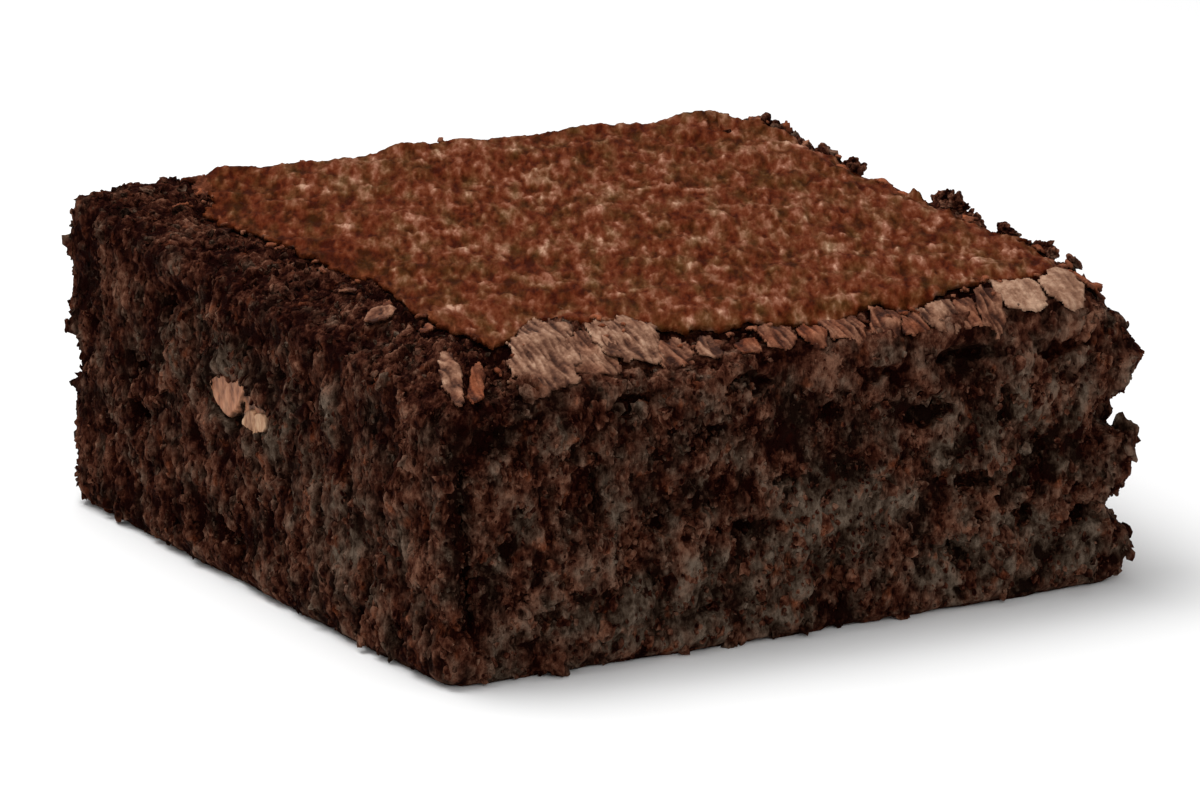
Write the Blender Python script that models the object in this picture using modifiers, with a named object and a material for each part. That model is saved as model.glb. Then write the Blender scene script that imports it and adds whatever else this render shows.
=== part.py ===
"""A fudge brownie: one hand-cut square with four torn crumb sides, a thin crust that has cracked and
slumped at the edges, and a piece of nut that the knife has laid bare in the left side.

Metres, +Z up. The brownie lies on z = 0. X runs along the front side and Y from front to back.
"""

import math
import random

import bmesh
import bpy
from mathutils import Matrix, Vector, noise
from mathutils.bvhtree import BVHTree

MM = 0.001

# Where the knife cut: the four corners in plan.
FRONT_LEFT = Vector((-34.6, -35.0, 0.0)) * MM
FRONT_RIGHT = Vector((34.9, -35.3, 0.0)) * MM
BACK_RIGHT = Vector((35.2, 34.2, 0.0)) * MM
BACK_LEFT = Vector((-36.9, 34.4, 0.0)) * MM
BLOCK_HEIGHT = 28 * MM

# Height of the crust above each corner in the same order, before the edges slump, and the four cuts.
CRUST_HEIGHTS = (29.0 * MM, 28.2 * MM, 28.7 * MM, 29.6 * MM)
CUTS = {
    "front": (FRONT_LEFT, FRONT_RIGHT),
    "right": (FRONT_RIGHT, BACK_RIGHT),
    "back": (BACK_RIGHT, BACK_LEFT),
    "left": (BACK_LEFT, FRONT_LEFT),
}

# How far the middle of each side swells past its cut, and how deep in the swelling starts.
SIDE_BULGE = {"front": 0.55 * MM, "left": 0.4 * MM, "right": 0.3 * MM, "back": 0.3 * MM}
BULGE_REACH = 12 * MM

# Roundings of the block, and the fine mesh that the relief is given to.
UPRIGHT_EDGE_RADIUS = 1.9 * MM
TOP_EDGE_RADIUS = 0.8 * MM
FOOT_RADIUS = 0.6 * MM
UPRIGHT_SEGMENTS = 4
SMALL_SEGMENTS = 2
GRAIN = 1.2 * MM
KEPT_FACES = 0.33

# The top's gentle swells.
TOP_SWELL = 0.35 * MM
SWELL_LENGTH = 19 * MM

# How far each side's lumps stand out, and the two sizes of lump.
LUMP_DEPTH = {"front": 1.25 * MM, "left": 0.7 * MM, "right": 1.2 * MM, "back": 0.8 * MM, "top": 0.45 * MM}
LARGE_LUMP = 7.5 * MM
SMALL_LUMP = 3.4 * MM
SMALL_LUMP_SHARE = 0.55
SMALL_LUMP_SHIFT = Vector((31.7, 8.3, 5.1))
LUMP_GAIN = 2.4
LUMP_LEVEL = 0.48

# The foot is calmer, because the crumb was pressed against the tin there.
CALM_FOOT = 4 * MM
FOOT_LUMPINESS = 0.35
FLAT_FOOT = 0.25 * MM

SIDE_NORMALS = {
    "front": Vector((0, -1, 0)),
    "left": Vector((-1, 0, 0)),
    "right": Vector((1, 0, 0)),
    "back": Vector((0, 1, 0)),
    "top": Vector((0, 0, 1)),
}

# Torn hollows: side, place along it, height, half width, half height and depth, in millimetres.
CRAGS = (
    ("front", -31.6, 16.5, 1.7, 3.6, 2.2),
    ("front", -31.0, 8.8, 1.7, 4.2, 2.3),
    ("front", -30.2, 4.0, 1.4, 2.4, 1.4),
    ("front", -29.0, 22.0, 2.8, 2.2, 1.5),
    ("front", -25.4, 7.2, 2.2, 1.4, 1.1),
    ("front", -19.2, 16.4, 1.4, 3.4, 1.6),
    ("front", -15.5, 23.8, 3.2, 1.5, 1.7),
    ("front", -13.3, 12.2, 2.0, 1.6, 1.7),
    ("front", -5.8, 10.7, 2.6, 1.1, 1.6),
    ("front", -4.4, 24.0, 3.2, 1.4, 1.6),
    ("front", -0.6, 14.6, 2.2, 1.0, 1.2),
    ("front", 14.0, 18.5, 3.2, 2.1, 1.8),
    ("front", 16.9, 5.3, 1.4, 2.0, 1.4),
    ("front", 17.5, 23.4, 4.2, 1.3, 1.5),
    ("front", 18.9, 11.5, 2.6, 1.7, 1.5),
    ("front", 25.4, 12.4, 1.4, 3.2, 1.6),
    ("front", 23.8, 7.5, 1.6, 2.3, 1.2),
    ("front", 30.0, 7.0, 2.2, 1.7, 2.1),
    ("left", 21.4, 15.7, 1.8, 1.6, 1.6),
    ("left", 20.1, 11.8, 2.0, 1.7, 1.6),
    ("left", 15.3, 23.6, 3.2, 2.1, 1.2),
    ("left", 2.4, 3.8, 1.4, 2.8, 1.5),
    ("left", -21.6, 6.8, 1.2, 2.6, 1.3),
    ("left", -24.2, 13.9, 1.2, 2.3, 1.0),
)
CRAG_SOFTNESS = 1.25
CRAG_FACING = 1.5
UNSEEN_CRAGS_A_SIDE = 12
UNSEEN_CRAG_REACH = 30
UNSEEN_CRAG_HEIGHTS = (4.5, 24.0)
UNSEEN_CRAG_WIDTHS = (1.3, 3.0)
UNSEEN_CRAG_DEPTHS = (0.9, 1.9)
UNSEEN_SEED = 7

# Bites out of the front right upright edge, and the lumps between them: height, half height and
# depth, in millimetres. A negative depth stands out.
CORNER_BITES = ((15.5, 1.8, 3.5), (7.1, 1.4, 2.6), (21.4, 3.6, -1.4), (11.6, 2.6, -1.9), (3.8, 2.4, -0.9))
BITE_REACH = 5.5 * MM
BITE_SOFTNESS = 1.3

# How far each edge has slumped and over what width: the front edge at its left end and elsewhere,
# then the other sides at the back and at the front.
FRONT_DROPS = (3.5 * MM, 2.0 * MM)
FRONT_REACHES = (8.8 * MM, 4.6 * MM)
LEFT_DROPS = (0.8 * MM, 2.5 * MM)
LEFT_REACH = 6.5 * MM
RIGHT_DROPS = (0.6 * MM, 1.1 * MM)
RIGHT_REACH = 4.5 * MM
BACK_DROP = 0.15 * MM
BACK_REACH = 2 * MM
FRONT_EASES_FROM = -12 * MM
FRONT_EASES_OVER = 12 * MM
SIDES_CHANGE_OVER = 60 * MM

# Pieces of broken crust on the edges: side, place along it, place down the shoulder, half length,
# half width and turn in degrees, the rest in millimetres.
PLATES = (
    ("front", -22.4, 4.1, 3.9, 4.1, 8),
    ("front", -18.1, 3.4, 2.3, 2.6, -6),
    ("front", -13.5, 4.8, 3.0, 2.7, 4),
    ("front", -10.7, 2.4, 1.6, 1.3, -12),
    ("front", -7.7, 1.7, 1.1, 1.2, 10),
    ("front", -0.3, 1.0, 3.1, 1.3, -4),
    ("front", 5.0, 1.1, 2.8, 1.5, 8),
    ("front", 10.2, 1.2, 1.3, 1.3, -6),
    ("front", 12.8, 1.1, 1.4, 1.1, 6),
    ("front", 15.8, 1.2, 1.7, 1.4, -4),
    ("front", 20.0, 1.3, 1.5, 1.8, 5),
    ("front", 24.4, 2.0, 2.4, 1.9, 4),
    ("front", 28.8, 2.0, 2.1, 1.9, -8),
    ("front", 32.0, 3.0, 1.6, 1.6, 12),
    ("left", -8.8, 5.0, 1.1, 0.9, 10),
    ("left", -16.3, 4.4, 1.9, 1.5, -10),
    ("left", -30.8, 3.0, 1.4, 2.5, 6),
    ("left", 30.0, 5.0, 1.5, 2.2, 20),
    ("right", -17.0, 1.6, 2.4, 1.5, -10),
    ("right", -8.5, 1.6, 2.8, 1.6, 8),
    ("right", 5.5, 1.9, 3.6, 1.4, -6),
    ("right", 15.0, 1.6, 2.4, 1.5, 10),
    ("right", 26.0, 1.8, 3.4, 2.0, -5),
    ("back", -20.0, 0.9, 2.4, 1.1, 6),
    ("back", -2.0, 0.9, 2.0, 1.0, -8),
    ("back", 17.0, 0.9, 2.6, 1.2, 5),
)
PLATE_THICKNESS = 1.1 * MM
PLATE_SIDES = 9
PLATE_LIFT = 0.45 * MM
PLATE_WRINKLE = 0.2 * MM
PLATE_RAGGEDNESS = (0.8, 1.12)
DROP_HEIGHT = 4 * MM

# Crumbs that cling to the edges: place and radius in millimetres. Each one is a lump, longer one
# way than the other, that settles on the nearest point of the block with its middle just inside.
CLINGING_CRUMBS = (
    (35.0, -0.2, 29.2, 2.1),
    (35.2, -3.2, 28.8, 1.4),
    (34.8, -13.5, 28.6, 1.5),
    (35.0, -19.0, 28.4, 1.4),
    (34.4, -25.0, 28.2, 1.2),
    (35.3, 19.0, 24.8, 1.3),
    (34.9, 27.4, 28.4, 1.2),
    (-36.9, 33.6, 16.5, 1.6),
    (-36.9, 33.6, 11.2, 1.3),
    (27.0, 34.6, 26.6, 1.2),
    (-22.0, 34.6, 30.0, 0.9),
)
SUNKEN = 0.2
CRUMB_STRETCH = (0.75, 1.35)
CRUMB_LUMPINESS = 0.75
CRUMB_LUMPS = 1.4
BITS_SEED = 21

# The nut, cut almost flush with the left side, in a pocket that clears it all round.
NUT_CENTRE = Vector((-34.0, 1.5, 16.9)) * MM
NUT_HALF_SIZES = Vector((2.8, 5.7, 2.6)) * MM
NUT_FACE = -36.1 * MM
NUT_CLEARANCE = 0.3 * MM
NUT_LUMPINESS = 0.2
NUT_LUMPS = 1.6
NUT_SHIFT = Vector((4.0, 9.0, 2.0))


def clear_scene():
    for obj in list(bpy.data.objects):
        bpy.data.objects.remove(obj, do_unlink=True)


def collection(name, shown=True):
    made = bpy.data.collections.new(name)
    made.hide_render = not shown
    bpy.context.scene.collection.children.link(made)
    return made


def material(name, colour, roughness):
    made = bpy.data.materials.new(name)
    made.use_nodes = True
    shader = made.node_tree.nodes["Principled BSDF"]
    shader.inputs["Base Color"].default_value = (*colour, 1.0)
    shader.inputs["Roughness"].default_value = roughness
    shader.inputs["Metallic"].default_value = 0.0
    return made


def add_object(name, bm, target):
    mesh = bpy.data.meshes.new(name)
    bm.to_mesh(mesh)
    bm.free()
    obj = bpy.data.objects.new(name, mesh)
    target.objects.link(obj)
    return obj


def bake_modifiers(obj):
    """The object's evaluated mesh takes the place of its mesh and modifiers."""
    graph = bpy.context.evaluated_depsgraph_get()
    graph.update()
    mesh = bpy.data.meshes.new_from_object(obj.evaluated_get(graph))
    obj.modifiers.clear()
    obj.data = mesh


def limited(value):
    return min(1.0, max(0.0, value))


def smooth_step(value):
    t = limited(value)
    return t * t * (3 - 2 * t)


def between(ends, share):
    return ends[0] + (ends[1] - ends[0]) * share


def bump(distance):
    """1 at the middle, falling smoothly to 0 at a distance of 1."""
    return (1 - distance * distance) ** 2 if abs(distance) < 1 else 0.0


def corner_blend(x, y, values):
    """A value given at the four corners, read at a place between them."""
    front_left, front_right, back_right, back_left = values
    across = limited((x - BACK_LEFT.x) / (FRONT_RIGHT.x - BACK_LEFT.x))
    away = limited((y - FRONT_RIGHT.y) / (BACK_LEFT.y - FRONT_RIGHT.y))
    at_front = between((front_left, front_right), across)
    at_back = between((back_left, back_right), across)
    return between((at_front, at_back), away)


def bulge_sides(bm):
    for vert in bm.verts:
        inside = edge_distances(vert.co.x, vert.co.y)
        for side, swelling in SIDE_BULGE.items():
            start, end = CUTS[side]
            axis = 0 if side in ("front", "back") else 1
            share = limited((vert.co[axis] - start[axis]) / (end[axis] - start[axis]))
            nearness = smooth_step(1 - inside[side] / BULGE_REACH)
            vert.co += SIDE_NORMALS[side] * swelling * nearness * 4 * share * (1 - share)


def edge_distances(x, y):
    """How far a place in plan lies inside each of the four cuts."""
    found = {}
    for side, (start, end) in CUTS.items():
        along = (end - start).normalized()
        inward = Vector((-along.y, along.x, 0.0))
        found[side] = max(0.0, inward.dot(Vector((x, y, 0.0)) - start))
    return found


def slump(x, y):
    """How far the top has sunk at a place: the knife pressed each edge down by its own amount."""
    inside = edge_distances(x, y)
    past_left = smooth_step((x - FRONT_EASES_FROM) / FRONT_EASES_OVER)
    front_drop = between(FRONT_DROPS, past_left)
    front_reach = between(FRONT_REACHES, past_left)
    towards_front = 1 - smooth_step(0.5 + y / SIDES_CHANGE_OVER)
    parts = (
        front_drop * (1 - smooth_step(inside["front"] / front_reach)),
        between(LEFT_DROPS, towards_front) * (1 - smooth_step(inside["left"] / LEFT_REACH)),
        between(RIGHT_DROPS, towards_front) * (1 - smooth_step(inside["right"] / RIGHT_REACH)),
        BACK_DROP * (1 - smooth_step(inside["back"] / BACK_REACH)),
    )
    return math.sqrt(sum(part * part for part in parts))


def crust_height(x, y):
    swell = TOP_SWELL * noise.noise(Vector((x, y, 0.0)) / SWELL_LENGTH)
    return corner_blend(x, y, CRUST_HEIGHTS) + swell - slump(x, y)


def is_upright(edge):
    return abs(edge.verts[0].co.z - edge.verts[1].co.z) > BLOCK_HEIGHT / 2


def is_at_top(edge):
    return min(vert.co.z for vert in edge.verts) > BLOCK_HEIGHT - MM / 10


def is_at_foot(edge):
    return max(vert.co.z for vert in edge.verts) < MM / 10


def rounded(bm, chosen, radius, segments):
    edges = [edge for edge in bm.edges if chosen(edge)]
    bmesh.ops.bevel(bm, geom=edges, offset=radius, offset_type="OFFSET", affect="EDGES",
                    segments=segments, profile=0.5, material=-1)


def hand_cut_block(target):
    """A cube moved to the four cuts, its edges bevelled, and remeshed into even small faces."""
    bm = bmesh.new()
    bmesh.ops.create_cube(bm, size=1.0)
    corners = {(-1, -1): FRONT_LEFT, (1, -1): FRONT_RIGHT, (1, 1): BACK_RIGHT, (-1, 1): BACK_LEFT}
    for vert in bm.verts:
        corner = corners[(int(math.copysign(1, vert.co.x)), int(math.copysign(1, vert.co.y)))]
        vert.co = Vector((corner.x, corner.y, BLOCK_HEIGHT if vert.co.z > 0 else 0.0))
    rounded(bm, is_upright, UPRIGHT_EDGE_RADIUS, UPRIGHT_SEGMENTS)
    rounded(bm, is_at_top, TOP_EDGE_RADIUS, SMALL_SEGMENTS)
    rounded(bm, is_at_foot, FOOT_RADIUS, SMALL_SEGMENTS)
    obj = add_object("brownie", bm, target)
    remesh = obj.modifiers.new("even_faces", "REMESH")
    remesh.mode = "VOXEL"
    remesh.voxel_size = GRAIN
    bake_modifiers(obj)
    return obj


def fit_to_crust(bm):
    """Stretches the block upwards so that its top follows the crust."""
    for vert in bm.verts:
        vert.co.z *= crust_height(vert.co.x, vert.co.y) / BLOCK_HEIGHT


def lumps(place):
    """Rounded lumps with sharp creases between them, about -1 to 1."""
    large = abs(noise.noise(place / LARGE_LUMP))
    small = abs(noise.noise(place / SMALL_LUMP + SMALL_LUMP_SHIFT))
    return LUMP_GAIN * between((large, small), SMALL_LUMP_SHARE) - LUMP_LEVEL


def side_weights(normal):
    return {side: max(0.0, normal.dot(out)) ** 2 for side, out in SIDE_NORMALS.items()}


def raise_lumps(bm):
    bm.normal_update()
    moves = []
    for vert in bm.verts:
        depth = sum(weight * LUMP_DEPTH[side] for side, weight in side_weights(vert.normal).items())
        calm = between((FOOT_LUMPINESS, 1.0), smooth_step(vert.co.z / CALM_FOOT))
        moves.append(vert.normal * depth * calm * lumps(vert.co))
    for vert, move in zip(bm.verts, moves):
        vert.co += move


def unseen_crags():
    """Torn hollows for the right and back sides, drawn by a rule from a fixed seed."""
    draw = random.Random(UNSEEN_SEED)
    found = []
    for side in ("right", "back"):
        for index in range(UNSEEN_CRAGS_A_SIDE):
            share = (index + draw.random()) / UNSEEN_CRAGS_A_SIDE
            along = between((-UNSEEN_CRAG_REACH, UNSEEN_CRAG_REACH), share)
            height = draw.uniform(*UNSEEN_CRAG_HEIGHTS)
            half_width = draw.uniform(*UNSEEN_CRAG_WIDTHS)
            half_height = draw.uniform(*UNSEEN_CRAG_WIDTHS)
            found.append((side, along, height, half_width, half_height, draw.uniform(*UNSEEN_CRAG_DEPTHS)))
    return found


def carve_crags(bm):
    bm.normal_update()
    crags = list(CRAGS) + unseen_crags()
    moves = []
    for vert in bm.verts:
        deepest = 0.0
        side, weight = max(side_weights(vert.normal).items(), key=lambda item: item[1])
        along = vert.co.y if side in ("left", "right") else vert.co.x
        for at_side, at, height, half_width, half_height, depth in crags:
            if at_side != side:
                continue
            distance = math.hypot((along / MM - at) / half_width, (vert.co.z / MM - height) / half_height)
            deepest = max(deepest, depth * MM * bump(distance / CRAG_SOFTNESS))
        moves.append(-SIDE_NORMALS[side] * deepest * limited(weight * CRAG_FACING))
    for vert, move in zip(bm.verts, moves):
        vert.co += move


def bite_corner(bm):
    """Bites and lumps on the front right upright edge, moved along the diagonal."""
    inward = (BACK_LEFT - FRONT_RIGHT).normalized()
    for vert in bm.verts:
        plan = Vector((vert.co.x, vert.co.y, 0.0))
        nearness = bump((plan - FRONT_RIGHT).length / BITE_REACH)
        if nearness == 0.0:
            continue
        for height, half_height, depth in CORNER_BITES:
            level = bump((vert.co.z / MM - height) / half_height / BITE_SOFTNESS)
            vert.co += inward * depth * MM * nearness * level


def flatten_foot(verts):
    """Everything that touched the table becomes one exact plane."""
    for vert in verts:
        if vert.co.z < FLAT_FOOT:
            vert.co.z = 0.0


def sculpt(obj):
    bm = bmesh.new()
    bm.from_mesh(obj.data)
    bulge_sides(bm)
    fit_to_crust(bm)
    raise_lumps(bm)
    carve_crags(bm)
    bite_corner(bm)
    flatten_foot(bm.verts)
    bm.to_mesh(obj.data)
    bm.free()
    thin = obj.modifiers.new("fewer_faces", "DECIMATE")
    thin.ratio = KEPT_FACES
    thin.use_collapse_triangulate = True
    bake_modifiers(obj)
    flatten_foot(obj.data.vertices)


def surface_of(obj):
    bm = bmesh.new()
    bm.from_mesh(obj.data)
    tree = BVHTree.FromBMesh(bm)
    bm.free()
    return tree


def shoulder_place(side, along, inside):
    """The point on the crust that lies `inside` in from a cut, `along` the side."""
    start, end = CUTS[side]
    axis = 0 if side in ("front", "back") else 1
    share = (along * MM - start[axis]) / (end[axis] - start[axis])
    place = start.lerp(end, share) - SIDE_NORMALS[side] * inside * MM
    place.z = crust_height(place.x, place.y)
    return place


def crust_normal(x, y):
    step = MM / 2
    rise_x = crust_height(x + step, y) - crust_height(x - step, y)
    rise_y = crust_height(x, y + step) - crust_height(x, y - step)
    return Vector((-rise_x, -rise_y, 2 * step)).normalized()


def crust_plate(tree, row, draw):
    """A ragged plate of crust that follows the shoulder under it and is sunk into it."""
    side, along, inside, half_length, half_width, turn = row
    place = shoulder_place(side, along, inside)
    normal = crust_normal(place.x, place.y)
    lengthwise = (CUTS[side][1] - CUTS[side][0]).normalized()
    crosswise = normal.cross(lengthwise).normalized()
    lengthwise = crosswise.cross(normal)
    axes = Matrix((lengthwise, crosswise, normal)).transposed().to_4x4()
    bm = bmesh.new()
    ring = bmesh.ops.create_circle(bm, cap_ends=True, radius=1.0, segments=PLATE_SIDES)["verts"]
    for vert in ring:
        vert.co *= draw.uniform(*PLATE_RAGGEDNESS)
    bmesh.ops.scale(bm, vec=(half_length * MM, half_width * MM, 1.0), verts=ring)
    bmesh.ops.poke(bm, faces=bm.faces)
    turned = axes @ Matrix.Rotation(math.radians(turn), 4, "Z")
    above = Matrix.Translation(place + normal * DROP_HEIGHT) @ turned
    bmesh.ops.transform(bm, matrix=above, verts=bm.verts)
    for vert in bm.verts:
        hit = tree.ray_cast(vert.co, -normal, 2 * DROP_HEIGHT)[0]
        if hit is None:
            hit = vert.co - normal * DROP_HEIGHT
        vert.co = hit + normal * (PLATE_LIFT + draw.uniform(-PLATE_WRINKLE, PLATE_WRINKLE))
    lower = bmesh.ops.extrude_face_region(bm, geom=bm.faces[:])["geom"]
    bmesh.ops.translate(bm, vec=-normal * PLATE_THICKNESS,
                        verts=[item for item in lower if isinstance(item, bmesh.types.BMVert)])
    bmesh.ops.recalc_face_normals(bm, faces=bm.faces)
    return bm


def clinging_crumb(tree, row, draw):
    """A lumpy crumb settled on the nearest point of the block."""
    x, y, z, radius = (value * MM for value in row)
    spot, normal, _, _ = tree.find_nearest(Vector((x, y, z)))
    shift = Vector([draw.uniform(0, 50) for axis in range(3)])
    stretch = [draw.uniform(*CRUMB_STRETCH) for axis in range(3)]
    bm = bmesh.new()
    bmesh.ops.create_icosphere(bm, subdivisions=2, radius=radius)
    for vert in bm.verts:
        vert.co *= 1 + CRUMB_LUMPINESS * noise.noise(vert.co * CRUMB_LUMPS / radius + shift)
    bmesh.ops.scale(bm, vec=stretch, verts=bm.verts)
    bmesh.ops.translate(bm, vec=spot - normal * radius * SUNKEN, verts=bm.verts)
    return bm


def nut_shape():
    """An uneven pebble, its left end taken off by the knife."""
    bm = bmesh.new()
    bmesh.ops.create_icosphere(bm, subdivisions=3, radius=1.0)
    for vert in bm.verts:
        vert.co *= 1 + NUT_LUMPINESS * noise.noise(vert.co * NUT_LUMPS + NUT_SHIFT)
    bmesh.ops.scale(bm, vec=NUT_HALF_SIZES, verts=bm.verts)
    bmesh.ops.translate(bm, vec=NUT_CENTRE, verts=bm.verts)
    cut = bmesh.ops.bisect_plane(bm, geom=bm.verts[:] + bm.edges[:] + bm.faces[:], dist=MM / 1000,
                                 plane_co=Vector((NUT_FACE, 0.0, 0.0)), plane_no=Vector((-1.0, 0.0, 0.0)),
                                 clear_outer=True)["geom_cut"]
    rim = [item for item in cut if isinstance(item, bmesh.types.BMEdge)]
    bmesh.ops.edgeloop_fill(bm, edges=rim)
    bmesh.ops.triangulate(bm, faces=bm.faces)
    bmesh.ops.recalc_face_normals(bm, faces=bm.faces)
    return bm


def boolean(obj, operation, tools):
    """Joins or cuts with every object of a collection, then removes those objects."""
    step = obj.modifiers.new(operation.lower(), "BOOLEAN")
    step.operation = operation
    step.solver = "EXACT"
    step.operand_type = "COLLECTION"
    step.collection = tools
    bake_modifiers(obj)
    for tool in list(tools.objects):
        bpy.data.objects.remove(tool, do_unlink=True)


def fuse_crust_and_crumbs(brownie):
    fused = collection("fused_bits", shown=False)
    tree = surface_of(brownie)
    draw = random.Random(BITS_SEED)
    bits = [crust_plate(tree, row, draw) for row in PLATES]
    bits += [clinging_crumb(tree, row, draw) for row in CLINGING_CRUMBS]
    for index, bm in enumerate(bits):
        add_object(f"bit_{index:02d}", bm, fused).display_type = "WIRE"
    boolean(brownie, "UNION", fused)


def cut_nut_pocket(brownie):
    cutters = collection("cutters", shown=False)
    bm = nut_shape()
    bm.normal_update()
    for vert in bm.verts:
        vert.co += vert.normal * NUT_CLEARANCE
    bmesh.ops.translate(bm, vec=(-NUT_CLEARANCE, 0.0, 0.0),
                        verts=[vert for vert in bm.verts if vert.co.x < NUT_FACE])
    add_object("nut_pocket", bm, cutters).display_type = "WIRE"
    boolean(brownie, "DIFFERENCE", cutters)


def keep_largest_piece(obj):
    """Drops scraps that the joining has left loose, and triangulates what stays."""
    bm = bmesh.new()
    bm.from_mesh(obj.data)
    waiting = set(bm.verts)
    pieces = []
    while waiting:
        first = waiting.pop()
        piece = {first}
        front = [first]
        while front:
            vert = front.pop()
            for edge in vert.link_edges:
                other = edge.other_vert(vert)
                if other not in piece:
                    piece.add(other)
                    front.append(other)
        waiting -= piece
        pieces.append(piece)
    largest = max(pieces, key=len)
    bmesh.ops.delete(bm, geom=[vert for vert in bm.verts if vert not in largest], context="VERTS")
    bmesh.ops.dissolve_degenerate(bm, dist=MM / 100, edges=bm.edges)
    bmesh.ops.triangulate(bm, faces=bm.faces)
    bm.to_mesh(obj.data)
    bm.free()


def settle(objects):
    """Puts the bottom centre of the whole at the origin."""
    places = [vert.co for obj in objects for vert in obj.data.vertices]
    low = Vector([min(place[axis] for place in places) for axis in range(3)])
    high = Vector([max(place[axis] for place in places) for axis in range(3)])
    shift = Matrix.Translation(Vector((-(low.x + high.x) / 2, -(low.y + high.y) / 2, -low.z)))
    for obj in objects:
        obj.data.transform(shift)


def main():
    clear_scene()
    parts = collection("fudge_brownie")
    crumb = material("crumb", (0.035, 0.016, 0.010), 0.75)
    nut_flesh = material("nut_flesh", (0.30, 0.17, 0.09), 0.6)
    brownie = hand_cut_block(parts)
    sculpt(brownie)
    fuse_crust_and_crumbs(brownie)
    cut_nut_pocket(brownie)
    keep_largest_piece(brownie)
    nut = add_object("nut_piece", nut_shape(), parts)
    brownie.data.materials.clear()
    brownie.data.materials.append(crumb)
    nut.data.materials.append(nut_flesh)
    settle([brownie, nut])


main()
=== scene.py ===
# %% [markdown]
# # A fudge brownie
# One hand-cut square of fudge brownie. Its knife-cut sides are torn into crumbs, a thin crust has
# cracked along the edges and tipped over the front shoulder, and the knife has laid bare a piece
# of nut in the left side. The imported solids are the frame: they give the size and the main forms,
# and every piece below is laid on them or replaces one of them.

# %% Load the solids
import math
import random

import bmesh
import bpy
from mathutils import Matrix, Vector, noise
from mathutils.bvhtree import BVHTree


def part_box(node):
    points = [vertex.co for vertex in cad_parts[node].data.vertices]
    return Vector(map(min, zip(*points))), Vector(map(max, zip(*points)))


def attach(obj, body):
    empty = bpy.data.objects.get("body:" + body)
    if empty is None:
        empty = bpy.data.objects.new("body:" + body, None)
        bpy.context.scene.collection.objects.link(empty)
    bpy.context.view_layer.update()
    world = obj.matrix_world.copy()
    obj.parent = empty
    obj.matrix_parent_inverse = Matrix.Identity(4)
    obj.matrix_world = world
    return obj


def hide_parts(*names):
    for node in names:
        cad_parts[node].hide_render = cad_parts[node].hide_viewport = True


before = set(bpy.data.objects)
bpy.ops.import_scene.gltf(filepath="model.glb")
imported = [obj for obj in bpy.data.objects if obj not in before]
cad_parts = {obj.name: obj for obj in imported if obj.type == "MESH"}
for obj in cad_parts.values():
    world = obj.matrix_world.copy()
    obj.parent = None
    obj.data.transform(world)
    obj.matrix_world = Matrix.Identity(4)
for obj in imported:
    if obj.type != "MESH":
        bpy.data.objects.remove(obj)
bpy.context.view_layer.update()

MM = 0.001
UP = Vector((0.0, 0.0, 1.0))
# Noise vectors start from the clock unless they get a seed, and each run would differ.
NOISE_SEED = 5
noise.seed_set(NOISE_SEED)
low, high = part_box("brownie")
print("brownie solid, mm:", [round(size / MM, 1) for size in high - low])

# %% [markdown]
# Everything here is worked out in metres, as the solids are. A few small helpers come first: one
# turns a finished bmesh into a piece of the scene, and the others blend numbers smoothly.

# %% Small helpers
def limited(value):
    return min(1.0, max(0.0, value))


def ease(value):
    t = limited(value)
    return t * t * (3 - 2 * t)


def between(first, last, share):
    return first + (last - first) * share


def read_table(table, at):
    """Reads a value between the rows of a table of (place, value)."""
    if at <= table[0][0]:
        return table[0][1]
    for (at_a, value_a), (at_b, value_b) in zip(table, table[1:]):
        if at <= at_b:
            return between(value_a, value_b, (at - at_a) / (at_b - at_a))
    return table[-1][1]


def add_piece(name, bm, finish, smooth=True):
    """Makes a piece from a finished bmesh, which is freed."""
    mesh = bpy.data.meshes.new(name)
    bm.to_mesh(mesh)
    bm.free()
    if smooth:
        mesh.shade_smooth()
    else:
        mesh.shade_flat()
    piece = bpy.data.objects.new(name, mesh)
    bpy.context.scene.collection.objects.link(piece)
    mesh.materials.append(finish)
    return piece


def report(piece):
    """Prints how many triangles a finished piece has."""
    graph = bpy.context.evaluated_depsgraph_get()
    mesh = piece.evaluated_get(graph).to_mesh()
    print(piece.name, "triangles:", sum(len(face.vertices) - 2 for face in mesh.polygons))


# %% [markdown]
# The camera looks a little down on the corner between the long left side and the front, from far
# away with a long lens, so upright edges stay upright. The floor is plain and pale.

# %% Camera
TURN = math.radians(-28.79)
RISE = math.radians(15.99)
DISTANCE = 0.980
AIM = Vector((0.49, 0.0, 12.9)) * MM
LENS_LENGTH = 323.7
SENSOR_WIDTH = 36.0
FARTHEST_SEEN = 10.0

level = math.cos(RISE)
towards_camera = Vector((math.sin(TURN) * level, -math.cos(TURN) * level, math.sin(RISE)))
lens = bpy.data.cameras.new("camera")
lens.lens = LENS_LENGTH
lens.sensor_width = SENSOR_WIDTH
lens.clip_end = FARTHEST_SEEN
camera = bpy.data.objects.new("camera", lens)
bpy.context.scene.collection.objects.link(camera)
camera.location = AIM + towards_camera * DISTANCE
camera.rotation_euler = towards_camera.to_track_quat("Z", "Y").to_euler()
bpy.context.scene.camera = camera

# %% [markdown]
# Soft studio light: a pale world all round, one broad lamp above and a little behind the left
# side, and a weaker one near the camera. The standard view shows the finishes as they are.

# %% Light and floor
SKY = 0.50
FLOOR_GREY = 0.86
FLOOR_HALF_WIDTH = 3.0
FLOOR_GAP = 0.02 * MM


def soft_lamp(name, place, size, power):
    """A square lamp that shines at the foot of the brownie."""
    lamp = bpy.data.lights.new(name, "AREA")
    lamp.shape = "SQUARE"
    lamp.size = size
    lamp.energy = power
    holder = bpy.data.objects.new(name, lamp)
    holder.location = place
    holder.rotation_euler = Vector(place).to_track_quat("Z", "Y").to_euler()
    bpy.context.scene.collection.objects.link(holder)


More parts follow.
